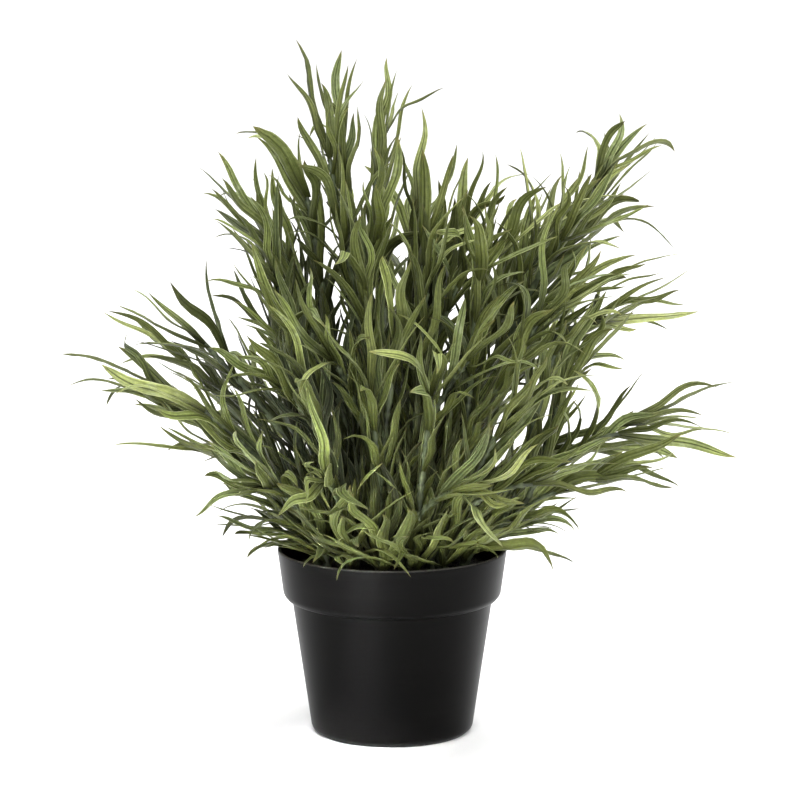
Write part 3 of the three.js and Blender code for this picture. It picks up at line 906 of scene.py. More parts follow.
# %% Growth
LEAF_GAP = 0.5 * MM
RIM_GAP = 3 * LEAF_GAP
OWN_LEAF_CLOSENESS = 0.8
FILL_CLOSENESS = 0.62
ROOT_SHARE = 0.25
LEAF_BALLS = 12
STEM_BALL_SPACING = 4 * MM
CUBE = 12 * MM
TRIES = 14
INNER_COLLAR_RADIUS = 55.0 * MM
GROWTH_SEEDS = (10007, 1009, 31)
LOW_STEMS = 14

room = {}


def cube_of(ball):
    return tuple(math.floor(value / CUBE) for value in ball[:3])


def take_room(ball):
    room.setdefault(cube_of(ball), []).append(ball)


def is_free(ball, closeness):
    x, y, z, radius, stem, low, _ = ball
    cx, cy, cz = cube_of(ball)
    near = (-1, 0, 1)
    cubes = ((cx + dx, cy + dy, cz + dz) for dx in near for dy in near for dz in near)
    for cube in cubes:
        for ox, oy, oz, other, other_stem, other_low, bare in room.get(cube, ()):
            own = other_stem == stem
            if own and (low or other_low):
                continue
            reach = LEAF["least_depth"] if own and bare else radius
            apart = (other + reach) * (OWN_LEAF_CLOSENESS if own else 1) + LEAF_GAP
            apart *= closeness
            if (ox - x) ** 2 + (oy - y) ** 2 + (oz - z) ** 2 < apart * apart:
                return False
    return True


def balls_of(leaf):
    balls = []
    for step in range(1, LEAF_BALLS + 1):
        share = step / LEAF_BALLS
        radius = max(half_width(leaf, share), LEAF["least_depth"] / 2)
        centre = bezier(leaf["points"], share)
        balls.append((*centre, radius, leaf["stem"], share <= ROOT_SHARE, False))
    return balls


def clear_of_pot(ball):
    x, y, z, radius = ball[:4]
    if z < SOIL_TOP + radius + LEAF_GAP:
        return False
    over_rim = z > POT_HEIGHT + radius + RIM_GAP
    return over_rim or math.hypot(x, y) < INNER_COLLAR_RADIUS - radius


def frame_numbers(sprig, whorl):
    """The leaves of a whorl that the CAD frame has too."""
    order = whorl["order"]
    if whorl["last"]:
        return [0, 2]
    if order == 0 and sprig.over_rim:
        return [1, 3, 4]
    return [(order * 2) % WHORL_LEAVES] if order % 3 else [1, 3]


def grow_leaf(sprig, whorl, number, closeness):
    counts = (sprig.stem, sprig.index, whorl["order"])
    draw = random_from(sum(seed * count for seed, count in zip(GROWTH_SEEDS, counts)) + number)
    for _ in range(TRIES):
        leaf = draw_leaf(sprig, whorl, number, draw)
        balls = balls_of(leaf)
        if all(clear_of_pot(ball) and is_free(ball, closeness) for ball in balls):
            for ball in balls:
                take_room(ball)
            return leaf
    return None


def grow_round(numbers_of, closeness):
    kept = [[] for _ in STEM_ROWS]
    layers = max(len(whorls_of(sprig)) for sprig in flat_sprigs)
    for layer in range(layers):
        for sprig in flat_sprigs:
            whorls = whorls_of(sprig)[::-1]
            if layer >= len(whorls):
                continue
            for number in numbers_of(sprig, whorls[layer]):
                leaf = grow_leaf(sprig, whorls[layer], number, closeness)
                if leaf:
                    kept[sprig.stem].append(leaf)
    return kept


for sprig in flat_sprigs:
    steps = math.ceil(sprig.length / STEM_BALL_SPACING)
    for step in range(steps + 1):
        share = step / steps
        take_room((*sprig.at(share), sprig.stem_radius(share) + LEAF_GAP, sprig.stem, False, True))

cad_leaves = grow_round(frame_numbers, 1.0)


def fill_numbers(sprig, whorl):
    """The leaves of a whorl that the frame leaves out; two or three places stay empty."""
    lost = (sprig.stem + 2 * whorl["order"]) % WHORL_LEAVES
    taken = frame_numbers(sprig, whorl) + [lost, (lost + 2) % WHORL_LEAVES]
    if sprig.stem < LOW_STEMS:
        taken.append((lost + 4) % WHORL_LEAVES)
    return [number for number in range(WHORL_LEAVES) if number not in taken]


fill_leaves = grow_round(fill_numbers, FILL_CLOSENESS)
print(f"leaves: {sum(map(len, cad_leaves))} as in the frame, {sum(map(len, fill_leaves))} more")

# %% [markdown]
# The photographed bush is fuller than whorls at one spacing make it. Smaller leaves stand half
# way between the whorls, a dense tuft at the foot of every stem hides the soil, and stems near
# the rim carry leaves that lean out over it. All of them grow by the same rule, from whorls
# that are set in between.

# %% Leaves between whorls, at the feet and over the rim
BETWEEN_NUMBERS = (2,)
BETWEEN_LENGTH = 0.95
BETWEEN_FROM = 0.35
FOOT_WHORLS = (1.5 * MM, 5 * MM, 16 * MM)
FOOT_SPREAD = (6, 42)
FOOT_LENGTH = 0.95
FOOT_CLOSENESS = 0.5
RIM_WHORLS = (4 * MM, 9 * MM, 14 * MM)
RIM_SPREAD = (38, 70)
RIM_NUMBERS = (2, 3, 4)
RIM_LENGTH = 0.8
RIM_CLOSENESS = 0.4
EXTRA_ORDER = 40


def between_whorls(sprig):
    whorls = whorls_of(sprig)
    made = []
    for below, above in zip(whorls, whorls[1:]):
        share = (below["share"] + above["share"]) / 2
        if share > BETWEEN_FROM:
            made.append({"order": EXTRA_ORDER + below["order"], "share": share, "last": False})
    return made


def whorls_at(sprig, heights, first_order):
    return [
        {"order": first_order + order, "share": height / sprig.length, "last": False}
        for order, height in enumerate(heights)
    ]


def grow_extra(whorls, numbers, closeness, changes):
    """Grows leaves on extra whorls with some of the leaf sizes changed for them."""
    usual = {key: LEAF[key] for key in changes}
    LEAF.update(changes)
    kept = [[] for _ in STEM_ROWS]
    for sprig, whorl in whorls:
        for number in numbers:
            leaf = grow_leaf(sprig, whorl, number, closeness)
            if leaf:
                kept[sprig.stem].append(leaf)
    LEAF.update(usual)
    return kept


between_leaves = grow_extra(
    [(sprig, whorl) for sprig in flat_sprigs if sprig.stem >= LOW_STEMS
     for whorl in between_whorls(sprig)],
    BETWEEN_NUMBERS, FILL_CLOSENESS,
    {key: LEAF[key] * BETWEEN_LENGTH for key in ("low_length", "end_length")},
)
foot_leaves = grow_extra(
    [(sprigs[0], whorl) for sprigs in all_sprigs
     for whorl in whorls_at(sprigs[0], FOOT_WHORLS, 2 * EXTRA_ORDER)],
    range(WHORL_LEAVES), FOOT_CLOSENESS,
    {"low_length": LEAF["low_length"] * FOOT_LENGTH, "spread": FOOT_SPREAD},
)
rim_leaves = grow_extra(
    [(sprigs[0], whorl) for sprigs in all_sprigs if sprigs[0].over_rim
     for whorl in whorls_at(sprigs[0], RIM_WHORLS, 3 * EXTRA_ORDER)],
    RIM_NUMBERS, RIM_CLOSENESS,
    {"low_length": LEAF["low_length"] * RIM_LENGTH, "spread": RIM_SPREAD},
)
rounds = [cad_leaves, fill_leaves, between_leaves, foot_leaves, rim_leaves]
leaves_of = [sum(of_one_stem, []) for of_one_stem in zip(*rounds)]
print(f"leaves: {sum(map(len, between_leaves))} between whorls, {sum(map(len, foot_leaves))} at feet, "
      f"{sum(map(len, rim_leaves))} over the rim, {sum(map(len, leaves_of))} in all")

# %% [markdown]
# ## From numbers to chains of points
#
# A leaf could be a flat card, but its channel and thick midrib catch the light, so each one
# becomes a solid blade. Here it is only a chain of points along the midrib. Each point says how
# wide the blade is there and which way its two axes look; the Geometry Nodes tree sweeps the
# blade from that. No two leaves are alike, so each chain sways, nods, twists and curls by draws
# of its own.

# %% Chains of leaves
LEAF_SPANS = 15
LEAF_TIP_HALF = 0.05 * MM
LEAF_BASE_SHARE = 0.5
LEAF_SWELL = 2.2
LEAF_EXTRA_TWIST = 1.7
LEAF_EXTRA_WIDTH = (0.66, 1.2)
LEAF_POINT = (3.2, 6.6)
LEAF_FOLD = (0.2, 1.0)
LEAF_SWERVE, SWERVE_TURNS = 2.8 * MM, 1.3
LEAF_HEAVE, HEAVE_TURNS = 1.9 * MM, 1.1
WAVE_START = 2.5
LEAF_CURL, CURL_BACK, CURL_POWER = 10 * MM, 0.2, 4
SHADE_SEEDS = (7919, 613, 11)

# What a leaf's tone is made of: its own draw, how far up its sprig it stands and how far out;
# the last makes leaves near the bush's heart darker and greyer, as painted shade
TONE_AND_SHADE_SHARES = (0.42, 0.13, 0.45)
SHADE_HEART = np.array([-0.03, 0.01, 0.2])
SHADE_HEART_REACH = (0.05, 0.16)


def blade_half_width(leaf, share, point):
    """The outline of a leaf: clasping base, parallel middle and a short or a long point."""
    swell = min(1, LEAF_BASE_SHARE + LEAF_SWELL * share) * (1 - share**point)
    return max(0.5 * leaf["width"] * swell, LEAF_TIP_HALF)


def across_axes(tangent, hint, turn):
    """The directions across a blade and out of its upper face, turned by some degrees."""
    keel = unit(hint - tangent * (hint @ tangent))
    edge = np.cross(tangent, keel)
    cosine, sine = math.cos(math.radians(turn)), math.sin(math.radians(turn))
    return edge * cosine + keel * sine, edge * sine - keel * cosine


def leaf_chain(leaf, order):
    draw = random_from(leaf["stem"] * SHADE_SEEDS[0] + order * SHADE_SEEDS[1] + SHADE_SEEDS[2])
    # Leaves whose tips are near the heart of the bush get a lower tone: painted shade
    reach = float(np.interp(np.linalg.norm(leaf["points"][3] - SHADE_HEART), SHADE_HEART_REACH, (0, 1)))
    tone = float(np.dot(TONE_AND_SHADE_SHARES, (draw(), leaf["youth"], reach)))
    fold = between(draw, *LEAF_FOLD)
    broad, point = between(draw, *LEAF_EXTRA_WIDTH), between(draw, *LEAF_POINT)
    swerve, heave = between(draw, -1, 1) * LEAF_SWERVE, between(draw, -1, 1) * LEAF_HEAVE
    curl = (draw() ** 2 - CURL_BACK) * LEAF_CURL
    phase = draw()

    def wave(turns, start, share):
        return math.sin(math.tau * (share * turns + start)) * min(1, WAVE_START * share)

    points = []
    for step in range(LEAF_SPANS + 1):
        share = step / LEAF_SPANS
        tangent = bezier_tangent(leaf["points"], share)
        hint = np.cross(leaf["aside"], tangent)
        right, face = across_axes(tangent, hint, leaf["twist"] * LEAF_EXTRA_TWIST * share)
        place = bezier(leaf["points"], share)
        place = place + right * wave(SWERVE_TURNS, phase, share) * swerve
        place = place + face * wave(HEAVE_TURNS, 2 * phase, share) * heave
        points.append({
            "place": place - face * curl * share**CURL_POWER, "right": right, "face": face,
            "half": blade_half_width(leaf, share, point) * broad, "along": share, "tone": tone,
            "leafy": 1.0, "fold": fold, "thick": 0.0, "cup": 0.0,
        })
    return points


leaf_chains = [
    [leaf_chain(leaf, order) for order, leaf in enumerate(leaves)] for leaves in leaves_of
]
print(f"leaf chains: {sum(map(len, leaf_chains))} of {LEAF_SPANS} spans")

# %% [markdown]
# A stem is a chain as well, with a radius instead of a width, and swells into a small moulded
# cup wherever a whorl of leaves stands. Its foot reaches down into the hole in the soil.

# %% Chains of stems
STEM_STEP = 5 * MM
STEM_SLIMNESS = 0.84
THIN_STEM, THICK_SPAN = 1.0 * MM, 1.0 * MM
CUP_HALF_WIDTH = 2.5 * MM
CUP_SWELL = 0.75 * MM
CUP_LEAST = 1.08
# Distance from the whorl along the stem, in millimetres, and share of the cup's swell
CUP_PROFILE = [(-13.0, 0.0), (-12.5, 0.85), (-6.0, 1.0), (0.0, 0.95), (3.5, 0.5), (7.0, 0.0)]
# A plain point this near to one of a cup's is left out, in millimetres
CUP_ALONE = 0.9


def stem_point(sprig, share, swell, drop):
    tangent = UP if sprig.index == 0 and share == 0 else sprig.tangent(share)
    right, face = across_axes(tangent, sprig.outward, 0.0)
    bare = sprig.stem_radius(share) * STEM_SLIMNESS
    swollen = min(bare + CUP_SWELL, max(CUP_HALF_WIDTH, bare * CUP_LEAST))
    return {
        "place": sprig.at(share) - UP * drop, "right": right, "face": face,
        "half": blend(bare, swollen, swell), "along": share, "tone": 0.5, "leafy": 0.0,
        "fold": 0.0, "thick": (bare - THIN_STEM) / THICK_SPAN, "cup": swell,
    }


def stem_chain(sprig):
    """Points at even steps, in hundredths of a millimetre, and those of the cups among them."""
    stops = {}
    steps = math.ceil(sprig.length / STEM_STEP)
    for step in range(steps + 1):
        stops[round(sprig.length * step / steps / MM, 2)] = 0.0
    for whorl in whorls_of(sprig):
        middle = whorl["share"] * sprig.length / MM
        for offset, swell in CUP_PROFILE:
            if 0 < middle + offset < sprig.length / MM:
                stops = {key: value for key, value in stops.items()
                         if abs(key - middle - offset) > CUP_ALONE or value > 0}
                stops[round(middle + offset, 2)] = swell
    points = []
    if sprig.index == 0:
        points.append(stem_point(sprig, 0.0, 0.0, UPRIGHT_START + STEM_IN_SOIL))
    for reached, swell in sorted(stops.items()):
        points.append(stem_point(sprig, min(reached * MM / sprig.length, 1.0), swell, 0.0))
    return points


stem_chains = [[stem_chain(sprig) for sprig in sprigs] for sprigs in all_sprigs]
print(f"stem chains: {sum(map(len, stem_chains))}, a point at least every {STEM_STEP / MM:.0f} mm")

# %% [markdown]
# The tree reads the chains from one mesh for each leafy stem. The mesh has edges only, and the
# values of the points are its attributes.

# %% Meshes of chains
POINT_VALUES = ("half", "along", "tone", "leafy", "fold", "thick", "cup")
POINT_VECTORS = ("right", "face")


def chains_object(name, chains):
    """A mesh of edges only, one chain after another, with the values on its points."""
    rows = [point for chain in chains for point in chain]
    edges, start = [], 0
    for chain in chains:
        edges += [(start + step, start + step + 1) for step in range(len(chain) - 1)]
        start += len(chain)
    made = mesh_object(name, [row["place"] for row in rows], [], edges)
    for key in POINT_VALUES:
        values = made.data.attributes.new(key, "FLOAT", "POINT")
        values.data.foreach_set("value", [float(row[key]) for row in rows])
    for key in POINT_VECTORS:
        vectors = made.data.attributes.new(key, "FLOAT_VECTOR", "POINT")
        vectors.data.foreach_set("vector", np.array([row[key] for row in rows]).ravel())
    return made


foliage_pieces = [
    chains_object(f"lavender_{number + 1:02d}", stems + leaves)
    for number, (stems, leaves) in enumerate(zip(stem_chains, leaf_chains))
]
print(f"meshes of chains: {sum(len(p.data.vertices) for p in foliage_pieces)} points")

# %% [markdown]
# ## The tree that grows blades and stems
#
# One Geometry Nodes tree sweeps both. It tells the leaf chains from the stem chains, turns each
# chain into a curve whose normal is the blade's own axis, and runs a closed ring along it.
# For a leaf the ring is a thin lens. The tree's sizes are its inputs.

# %% Rings swept along chains
FOLIAGE_SIZES = {
    "Leaf Ring Points": ("NodeSocketInt", 12),
    "Stem Ring Points": ("NodeSocketInt", 10),
    "Blade Thickness": ("NodeSocketFloat", 0.13),
    "Channel": ("NodeSocketFloat", 0.5),
    "Midrib Depth": ("NodeSocketFloat", 0.12),
    "Ridge Height": ("NodeSocketFloat", 0.07),
    "Margin Waves": ("NodeSocketFloat", 0.16),
    "Crumple": ("NodeSocketFloat", 0.35),
    "Barbs": ("NodeSocketFloat", 0.16),
    "Seed": ("NodeSocketFloat", 4.0),
}


def named_value(tree, name, kind="FLOAT"):
    node = tree.add("GeometryNodeInputNamedAttribute", {"Name": name}, data_type=kind)
    return [s for s in node.outputs if s.enabled and s.name == "Attribute"][0]


def ring_profile(tree, points, thickness):
    """A closed ring of radius 1, flattened by a thickness, that remembers where it lies."""
    circle = tree.add("GeometryNodeCurvePrimitiveCircle", {"Resolution": points, "Radius": 1.0})
    position = tree.add("GeometryNodeInputPosition").outputs[0]
    place = tree.add("ShaderNodeSeparateXYZ", {"Vector": position}).outputs
    ring = circle.outputs["Curve"]
    for name, value in (("across", place["X"]), ("upper", place["Y"])):
        ring = tree.add(
            "GeometryNodeStoreNamedAttribute",
            {"Geometry": ring, "Name": name, "Value": value},
            data_type="FLOAT", domain="POINT",
        ).outputs["Geometry"]
    flattened = tree.point(place["X"], tree.product(place["Y"], thickness), 0.0)
    moved = tree.add("GeometryNodeSetPosition", {"Geometry": ring, "Position": flattened})
    return moved.outputs["Geometry"]


def swept(tree, chains, profile):
    curve = tree.add("GeometryNodeMeshToCurve", {"Mesh": chains}).outputs["Curve"]
    turned = tree.add(
        "GeometryNodeSetCurveNormal",
        {"Curve": curve, "Normal": named_value(tree, "right", "FLOAT_VECTOR")},
        mode="FREE",
    )
    body = tree.add(
        "GeometryNodeCurveToMesh",
        {
            "Curve": turned.outputs["Curve"], "Profile Curve": profile,
            "Scale": named_value(tree, "half"), "Fill Caps": True,
        },
    )
    return body.outputs["Mesh"]


def geometry_tree(name, sizes, materials):
    """A Geometry Nodes tree with nothing in it but its inputs: sizes and materials."""
    group = bpy.data.node_groups.new(name, "GeometryNodeTree")
    group_sockets(
        group,
        [("Geometry", "NodeSocketGeometry", None)]
        + [(key, kind, value) for key, (kind, value) in sizes.items()]
        + [(key, "NodeSocketMaterial", None) for key in materials],
        [("Geometry", "NodeSocketGeometry")],
    )
    tree = Tree(group)
    return group, tree, tree.add("NodeGroupInput").outputs


print(f"rings: {FOLIAGE_SIZES['Leaf Ring Points'][1]} points round a leaf, "
      f"{FOLIAGE_SIZES['Stem Ring Points'][1]} round a stem")

# %% [markdown]
# The swept blades are then moved by where their points lie across and along them: margins up
# into a channel, midrib down, a ridge on either side, slow waves, dents, and small uneven barbs
# on the edge. Every move is a share of the blade's half width.

# %% Shape of a blade
CHANNEL_POWER = 1.5
WAVES_ALONG, WAVE_DRAW, WAVE_STRENGTH = 6.0, 91.0, 2.0
DENTS_ALONG, DENTS_ACROSS, DENT_DRAW, DENT_STRENGTH = 9.0, 0.8, 57.0, 2.0
BLADE_RIDGE_PLACE = 0.5
BLADE_NOISES = {"waves": (1.0, 1.0, 0.5), "barbs": (4.5, 2.0, 0.7), "dents": (1.0, 2.0, 0.5)}
BLADE_RAMPS = {
    "channel along": (0.0, 1.0, 1.15, 0.55),
    "midrib": (0.0, 0.4, 1.0, 0.0),
    "ridge": (0.0, 0.36, 1.0, 0.0),
    "upper face": (0.0, 0.5),
    "margin": (0.8, 1.0),
    "past the root": (0.0, 0.25),
}


def blade_offset(tree, given):
    """How far a point of a blade is moved out of its face and sideways."""
    across, along = named_value(tree, "across"), named_value(tree, "along")
    upper, tone = named_value(tree, "upper"), named_value(tree, "tone")
    half, fold = named_value(tree, "half"), named_value(tree, "fold")
    side = tree.math("ABSOLUTE", across)

    def ramp(name, value):
        return tree.ramp(value, BLADE_RAMPS[name])

    def uneven(name, x, y, draw):
        """Noise round zero, drawn anew for every leaf."""
        place = tree.point(x, y, tree.total(tree.product(tone, draw), given["Seed"]))
        return tree.math("SUBTRACT", tree.noise(place, *BLADE_NOISES[name]), 0.5)

    channel = tree.product(tree.math("POWER", side, CHANNEL_POWER), ramp("channel along", along))
    channel = tree.product(channel, tree.product(given["Channel"], fold))
    midrib = tree.product(ramp("midrib", side), given["Midrib Depth"])
    beside = ramp("ridge", tree.away_from(side, BLADE_RIDGE_PLACE))
    ridge = tree.product(beside, ramp("upper face", upper), given["Ridge Height"])
    edge_sign = tree.math("SIGN", across)
    wave_place = (tree.product(along, WAVES_ALONG), edge_sign, WAVE_DRAW)
    wave = tree.product(uneven("waves", *wave_place), tree.product(side, WAVE_STRENGTH))
    wave = tree.product(wave, given["Margin Waves"])
    jag = uneven("barbs", *wave_place)
    jag = tree.product(jag, tree.product(ramp("margin", side), edge_sign), given["Barbs"])
    dent_place = (tree.product(along, DENTS_ALONG), tree.product(across, DENTS_ACROSS), DENT_DRAW)
    dent = tree.product(uneven("dents", *dent_place), ramp("past the root", along))
    dent = tree.product(dent, given["Crumple"])

    lift = tree.total(tree.math("SUBTRACT", channel, midrib), tree.total(ridge, wave))
    lift = tree.total(lift, tree.product(dent, DENT_STRENGTH))
    outward = tree.scaled(named_value(tree, "face", "FLOAT_VECTOR"), tree.product(lift, half))
    sideways = tree.scaled(named_value(tree, "right", "FLOAT_VECTOR"), tree.product(jag, half))
    offset = tree.add("ShaderNodeVectorMath", {0: outward, 1: sideways}, operation="ADD")
    return offset.outputs["Vector"]


print(f"blade: {len(BLADE_RAMPS)} ramps and {len(BLADE_NOISES)} noises shape it")

# %% [markdown]
# Each leafy stem runs through the tree once and becomes a plain mesh, which takes the place of
# its CAD node.


# %% Foliage tree and pieces
def build_foliage_tree(materials):
    group, tree, given = geometry_tree("foliage", FOLIAGE_SIZES, materials)
    parted = tree.add(
        "GeometryNodeSeparateGeometry",
        {"Geometry": given["Geometry"], "Selection": named_value(tree, "leafy")},
        domain="POINT",
    )
    leaf_ring = ring_profile(tree, given["Leaf Ring Points"], given["Blade Thickness"])
    stem_ring = ring_profile(tree, given["Stem Ring Points"], 1.0)
    blades = swept(tree, parted.outputs["Selection"], leaf_ring)
    stems = swept(tree, parted.outputs["Inverted"], stem_ring)
    offset = blade_offset(tree, given)
    shaped = tree.add("GeometryNodeSetPosition", {"Geometry": blades, "Offset": offset})
    joined = tree.add("GeometryNodeJoinGeometry")
    for body, material in ((shaped.outputs["Geometry"], "Leaf Material"), (stems, "Stem Material")):
        dressed = tree.add("GeometryNodeSetMaterial", {"Geometry": body, "Material": given[material]})
        tree.put(joined.inputs["Geometry"], dressed.outputs["Geometry"])
    smooth = tree.add("GeometryNodeSetShadeSmooth", {"Geometry": joined.outputs["Geometry"]})
    real = tree.add("GeometryNodeRealizeInstances", {"Geometry": smooth.outputs["Geometry"]})
    tree.add("NodeGroupOutput", {"Geometry": real.outputs["Geometry"]})
    return group


def grown(source, group, sizes, materials):
    """Runs a tree on an object once and keeps the plain mesh that comes out of it."""
    values = {name: value for name, (kind, value) in sizes.items()} | materials
    modifier = source.modifiers.new(group.name, "NODES")
    modifier.node_group = group
    for item in group.interface.items_tree:
        if item.in_out == "INPUT" and item.name in values:
            modifier[item.identifier] = values[item.name]
    evaluated = source.evaluated_get(bpy.context.evaluated_depsgraph_get())
    mesh = bpy.data.meshes.new_from_object(evaluated)
    source.modifiers.remove(modifier)
    mesh.name = source.name
    source.data = mesh


def triangles(piece):
    return sum(len(face.vertices) - 2 for face in piece.data.polygons)


foliage_materials = {"Leaf Material": leaf_material, "Stem Material": stem_material}
foliage_tree = build_foliage_tree(foliage_materials)
for number, piece in enumerate(foliage_pieces):
    grown(piece, foliage_tree, FOLIAGE_SIZES, foliage_materials)
    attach(piece, "root")
    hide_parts(f"leafy_stem_{number + 1:02d}")
print(f"foliage: {len(foliage_pieces)} pieces, {sum(map(triangles, foliage_pieces))} triangles")

# %% [markdown]
# ## The soil
#
# Only a dark, crumbly surface shows between the stems. It is a closed plug that fills the pot
# with a clearance all round, turned from an outline like the pot. The rings in its top are
# there because a tree makes the top uneven.

# %% Soil's body
SOIL_SEGMENTS = 96
SOIL_LEVEL = round(SOIL_TOP / MM, 1)
SOIL_RING_SPACING = 5
# Radius and height in millimetres
SOIL_OUTLINE = [(0.0, 3.1), (40.3, 4.1), (50.1, 70.9), (54.6, 73.8), (56.0, 85.0), (54.0, 85.8)]
SOIL_OUTLINE += [(radius, SOIL_LEVEL) for radius in range(50, -1, -SOIL_RING_SPACING)]


def lathe(name, outline, segments):
    """A closed body turned round Z from an outline, in metres, that starts and ends on the axis."""
    vertices, faces, rings = [], [], []
    for radius, height in outline:
        steps = 1 if radius == 0 else segments
        rings.append(list(range(len(vertices), len(vertices) + steps)))
        for step in range(steps):
            turn = 2 * math.pi * step / segments
            vertices.append((radius * math.cos(turn), radius * math.sin(turn), height))
    for lower, upper in zip(rings, rings[1:]):
        for step in range(segments):
            after = (step + 1) % segments
            if len(lower) == 1:
                faces.append((lower[0], upper[after], upper[step]))
            elif len(upper) == 1:
                faces.append((lower[step], lower[after], upper[0]))
            else:
                faces.append((lower[step], lower[after], upper[after], upper[step]))
    return mesh_object(name, vertices, faces)


soil = lathe("potting_soil", [(r * MM, z * MM) for r, z in SOIL_OUTLINE], SOIL_SEGMENTS)
print(f"soil: {len(SOIL_OUTLINE)} rings of {SOIL_SEGMENTS} segments")

# %% [markdown]
# Crumbs lie on the soil: small rough lumps that the tree scatters over its top, turns and
# scales at random. Each is a flattened ball of few faces, because hundreds of them are needed.

# %% Soil's crumbs
CLOD_NOISE, CLOD_MIDDLE = (90.0, 3.0, 0.6), 0.62
LEAST_CRUMB, LARGEST_CRUMB = (0.3, 0.3, 0.25), (1.5, 1.1, 0.8)
CRUMB_TILT = 0.6
TURN_SEED = 11
CRUMB_TREE_SIZES = {
    "Crumbs Per Area": ("NodeSocketFloat", 190000.0),
    "Crumb Radius": ("NodeSocketFloat", 0.9 * MM),
    "Relief": ("NodeSocketFloat", 1.6 * MM),
    "Top Height": ("NodeSocketFloat", SOIL_TOP - 0.5 * MM),
    "Seed": ("NodeSocketInt", 7),
}


def build_crumb_tree(materials):
    group, tree, given = geometry_tree("crumbs", CRUMB_TREE_SIZES, materials)
    place = tree.add("GeometryNodeInputPosition").outputs[0]
    height = tree.add("ShaderNodeSeparateXYZ", {"Vector": place}).outputs["Z"]
    on_top = tree.math("GREATER_THAN", height, given["Top Height"])
    bumps = tree.math("SUBTRACT", tree.noise(place, *CLOD_NOISE), CLOD_MIDDLE)
    lift = tree.point(0.0, 0.0, tree.product(bumps, given["Relief"], on_top))
    uneven = tree.add(
        "GeometryNodeSetPosition", {"Geometry": given["Geometry"], "Offset": lift},
    ).outputs["Geometry"]
    scattered = tree.add(
        "GeometryNodeDistributePointsOnFaces",
        {
            "Mesh": uneven, "Selection": on_top, "Density": given["Crumbs Per Area"],
            "Seed": given["Seed"],
        },
        distribute_method="RANDOM",
    )
    lump = tree.add("GeometryNodeMeshIcoSphere", {"Radius": given["Crumb Radius"], "Subdivisions": 1})

    def drawn(seed, low, high):
        node = tree.add("FunctionNodeRandomValue", {"Seed": seed}, data_type="FLOAT_VECTOR")
        node.inputs["Min"].default_value, node.inputs["Max"].default_value = low, high
        return node.outputs["Value"]

    crumbs = tree.add(
        "GeometryNodeInstanceOnPoints",
        {
            "Points": scattered.outputs["Points"], "Instance": lump.outputs["Mesh"],
            "Rotation": scattered.outputs["Rotation"],
            "Scale": drawn(given["Seed"], LEAST_CRUMB, LARGEST_CRUMB),
        },
    )
    turns = drawn(
        TURN_SEED, (-CRUMB_TILT, -CRUMB_TILT, 0.0), (CRUMB_TILT, CRUMB_TILT, 2 * math.pi),
    )
    spun = tree.add(
        "GeometryNodeRotateInstances", {"Instances": crumbs.outputs["Instances"], "Rotation": turns},
    )
    joined = tree.add("GeometryNodeJoinGeometry")
    tree.put(joined.inputs["Geometry"], uneven)
    tree.put(joined.inputs["Geometry"], spun.outputs["Instances"])
    real = tree.add("GeometryNodeRealizeInstances", {"Geometry": joined.outputs["Geometry"]})
    dressed = tree.add(
        "GeometryNodeSetMaterial",
        {"Geometry": real.outputs["Geometry"], "Material": given["Material"]},
    )
    tree.add("NodeGroupOutput", {"Geometry": dressed.outputs["Geometry"]})
    return group


soil_materials = {"Material": soil_material}
grown(soil, build_crumb_tree(soil_materials), CRUMB_TREE_SIZES, soil_materials)
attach(soil, "root")
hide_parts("soil")
print(f"soil: {triangles(soil)} triangles with its crumbs")

# %% [markdown]
# ## The pot
#
# A moulded pot has no sharp corner anywhere: the rim is a rolled lip, the collar's shoulder is
# round and so is the foot. Its outline is the frame's own, with an arc laid into every corner,
# and it is turned with enough segments to look round.

# %% Pot's body
POT_SEGMENTS = 160
ROUNDING_STEPS = 5
MOST_OF_A_SIDE = 0.48
RIM, TOP = round(RIM_RADIUS / MM, 1), round(POT_HEIGHT / MM, 1)
WALL, BASE, RECESS = 1.9, 2.8, 1.6
FOOT_RADIUS, BODY_FOOT, BODY_TOP = 39.4, 42.6, 52.4
COLLAR_FOOT, COLLAR_HEIGHT = 56.9, 71.5
# Radius, height and rounding of every corner, in millimetres
POT_OUTLINE = [
    # The underside with its pad, its recess and the ring that it stands on
    (0.0, 0.0, 0.0), (14.0, 0.0, 0.4), (15.2, RECESS, 0.4), (33.2, RECESS, 0.4), (34.4, 0.0, 0.4),
    (FOOT_RADIUS, 0.0, 1.4), (42.1, 2.6, 2.2),
    # Up the outside: the body, the collar's shoulder and the lip
    (BODY_FOOT, 4.6, 1.2), (BODY_TOP, COLLAR_HEIGHT - 0.8, 0.5), (54.9, COLLAR_HEIGHT, 0.8),
    (COLLAR_FOOT, 73.9, 1.6), (RIM, 96.9, 0.45), (RIM - 0.3, TOP, 0.4), (RIM - 1.6, TOP, 0.5),
    # Down the inside to the floor
    (RIM - WALL, 97.0, 0.3), (COLLAR_FOOT - WALL, 73.5, 1.0), (BODY_TOP - WALL, 70.55, 1.0),
    (BODY_FOOT - WALL, BASE + 1, 1.0), (0.0, BASE, 0.0),
]


def rounded(outline):
    """Replaces every corner of an outline by an arc-like curve of the given size."""
    points = []
    for index, (radius, height, size) in enumerate(outline):
        corner = np.array([radius, height])
        if size == 0:
            points.append(corner)
            continue
        before = np.array(outline[index - 1][:2]) - corner
        after = np.array(outline[index + 1][:2]) - corner
        sides = [np.linalg.norm(side) * MOST_OF_A_SIDE for side in (before, after)]
        reach = min(size, *sides)
        start, end = corner + unit(before) * reach, corner + unit(after) * reach
        for step in range(ROUNDING_STEPS + 1):
            share = step / ROUNDING_STEPS
            points.append(
                start * (1 - share) ** 2 + corner * 2 * share * (1 - share) + end * share**2
            )
    return [(float(radius) * MM, float(height) * MM) for radius, height in points]


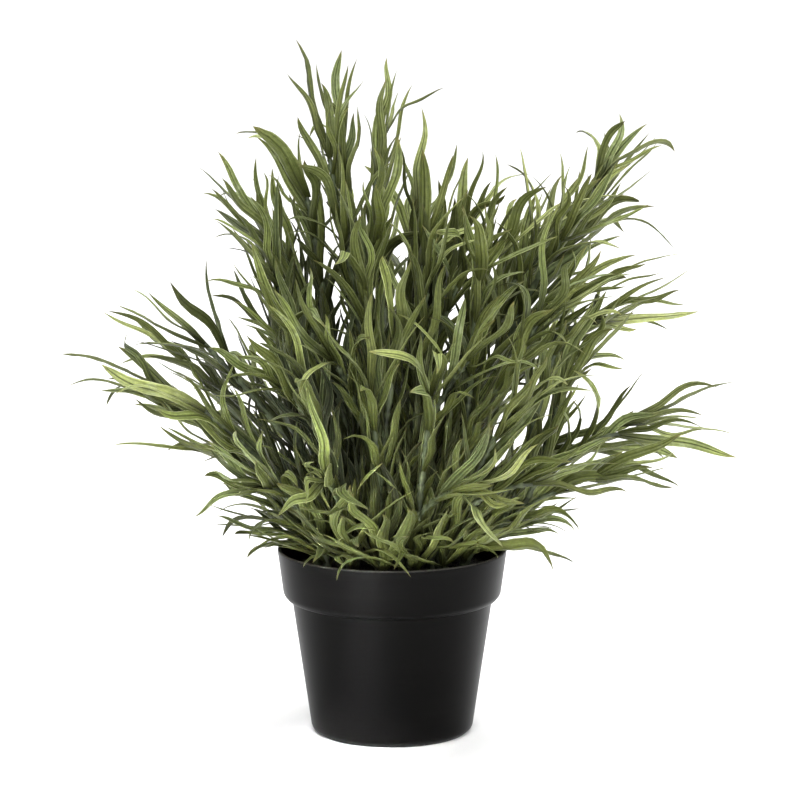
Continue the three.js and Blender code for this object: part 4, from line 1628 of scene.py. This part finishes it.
pot = lathe("nursery_pot", rounded(POT_OUTLINE), POT_SEGMENTS)
print(f"pot: {len(POT_OUTLINE)} corners, {len(rounded(POT_OUTLINE))} rings")

# %% [markdown]
# The drain holes in the underside repeat round a circle, which is a tree's work too: it sets a
# plug on every point of a circle and cuts them all out of the floor.

# %% Pot's drain holes
HOLE_SIDES = 32
FIRST_HOLE = math.radians(30)
SHARP_FROM = math.radians(35)
HOLE_TREE_SIZES = {
    "Count": ("NodeSocketInt", 6),
    "Circle Radius": ("NodeSocketFloat", 27 * MM),
    "Hole Radius": ("NodeSocketFloat", 4 * MM),
    "Depth": ("NodeSocketFloat", 12 * MM),
}


def build_hole_tree(materials):
    group, tree, given = geometry_tree("drain_holes", HOLE_TREE_SIZES, materials)
    circle = tree.add(
        "GeometryNodeMeshCircle", {"Vertices": given["Count"], "Radius": given["Circle Radius"]},
    )
    turned = tree.add(
        "GeometryNodeTransform",
        {"Geometry": circle.outputs["Mesh"], "Rotation": (0.0, 0.0, FIRST_HOLE)},
    )
    plug = tree.add(
        "GeometryNodeMeshCylinder",
        {"Vertices": HOLE_SIDES, "Radius": given["Hole Radius"], "Depth": given["Depth"]},
    )
    plugs = tree.add(
        "GeometryNodeInstanceOnPoints",
        {"Points": turned.outputs["Geometry"], "Instance": plug.outputs["Mesh"]},
    )
    real = tree.add("GeometryNodeRealizeInstances", {"Geometry": plugs.outputs["Instances"]})
    cut = tree.add(
        "GeometryNodeMeshBoolean",
        {"Mesh 1": given["Geometry"], "Mesh 2": real.outputs["Geometry"]},
        operation="DIFFERENCE", solver="EXACT",
    )
    dressed = tree.add(
        "GeometryNodeSetMaterial", {"Geometry": cut.outputs["Mesh"], "Material": given["Material"]},
    )
    tree.add("NodeGroupOutput", {"Geometry": dressed.outputs["Geometry"]})
    return group


pot_materials = {"Material": pot_material}
grown(pot, build_hole_tree(pot_materials), HOLE_TREE_SIZES, pot_materials)
pot.data.shade_smooth()
pot.data.set_sharp_from_angle(angle=SHARP_FROM)
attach(pot, "root")
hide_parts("pot")
print(f"pot: {triangles(pot)} triangles")
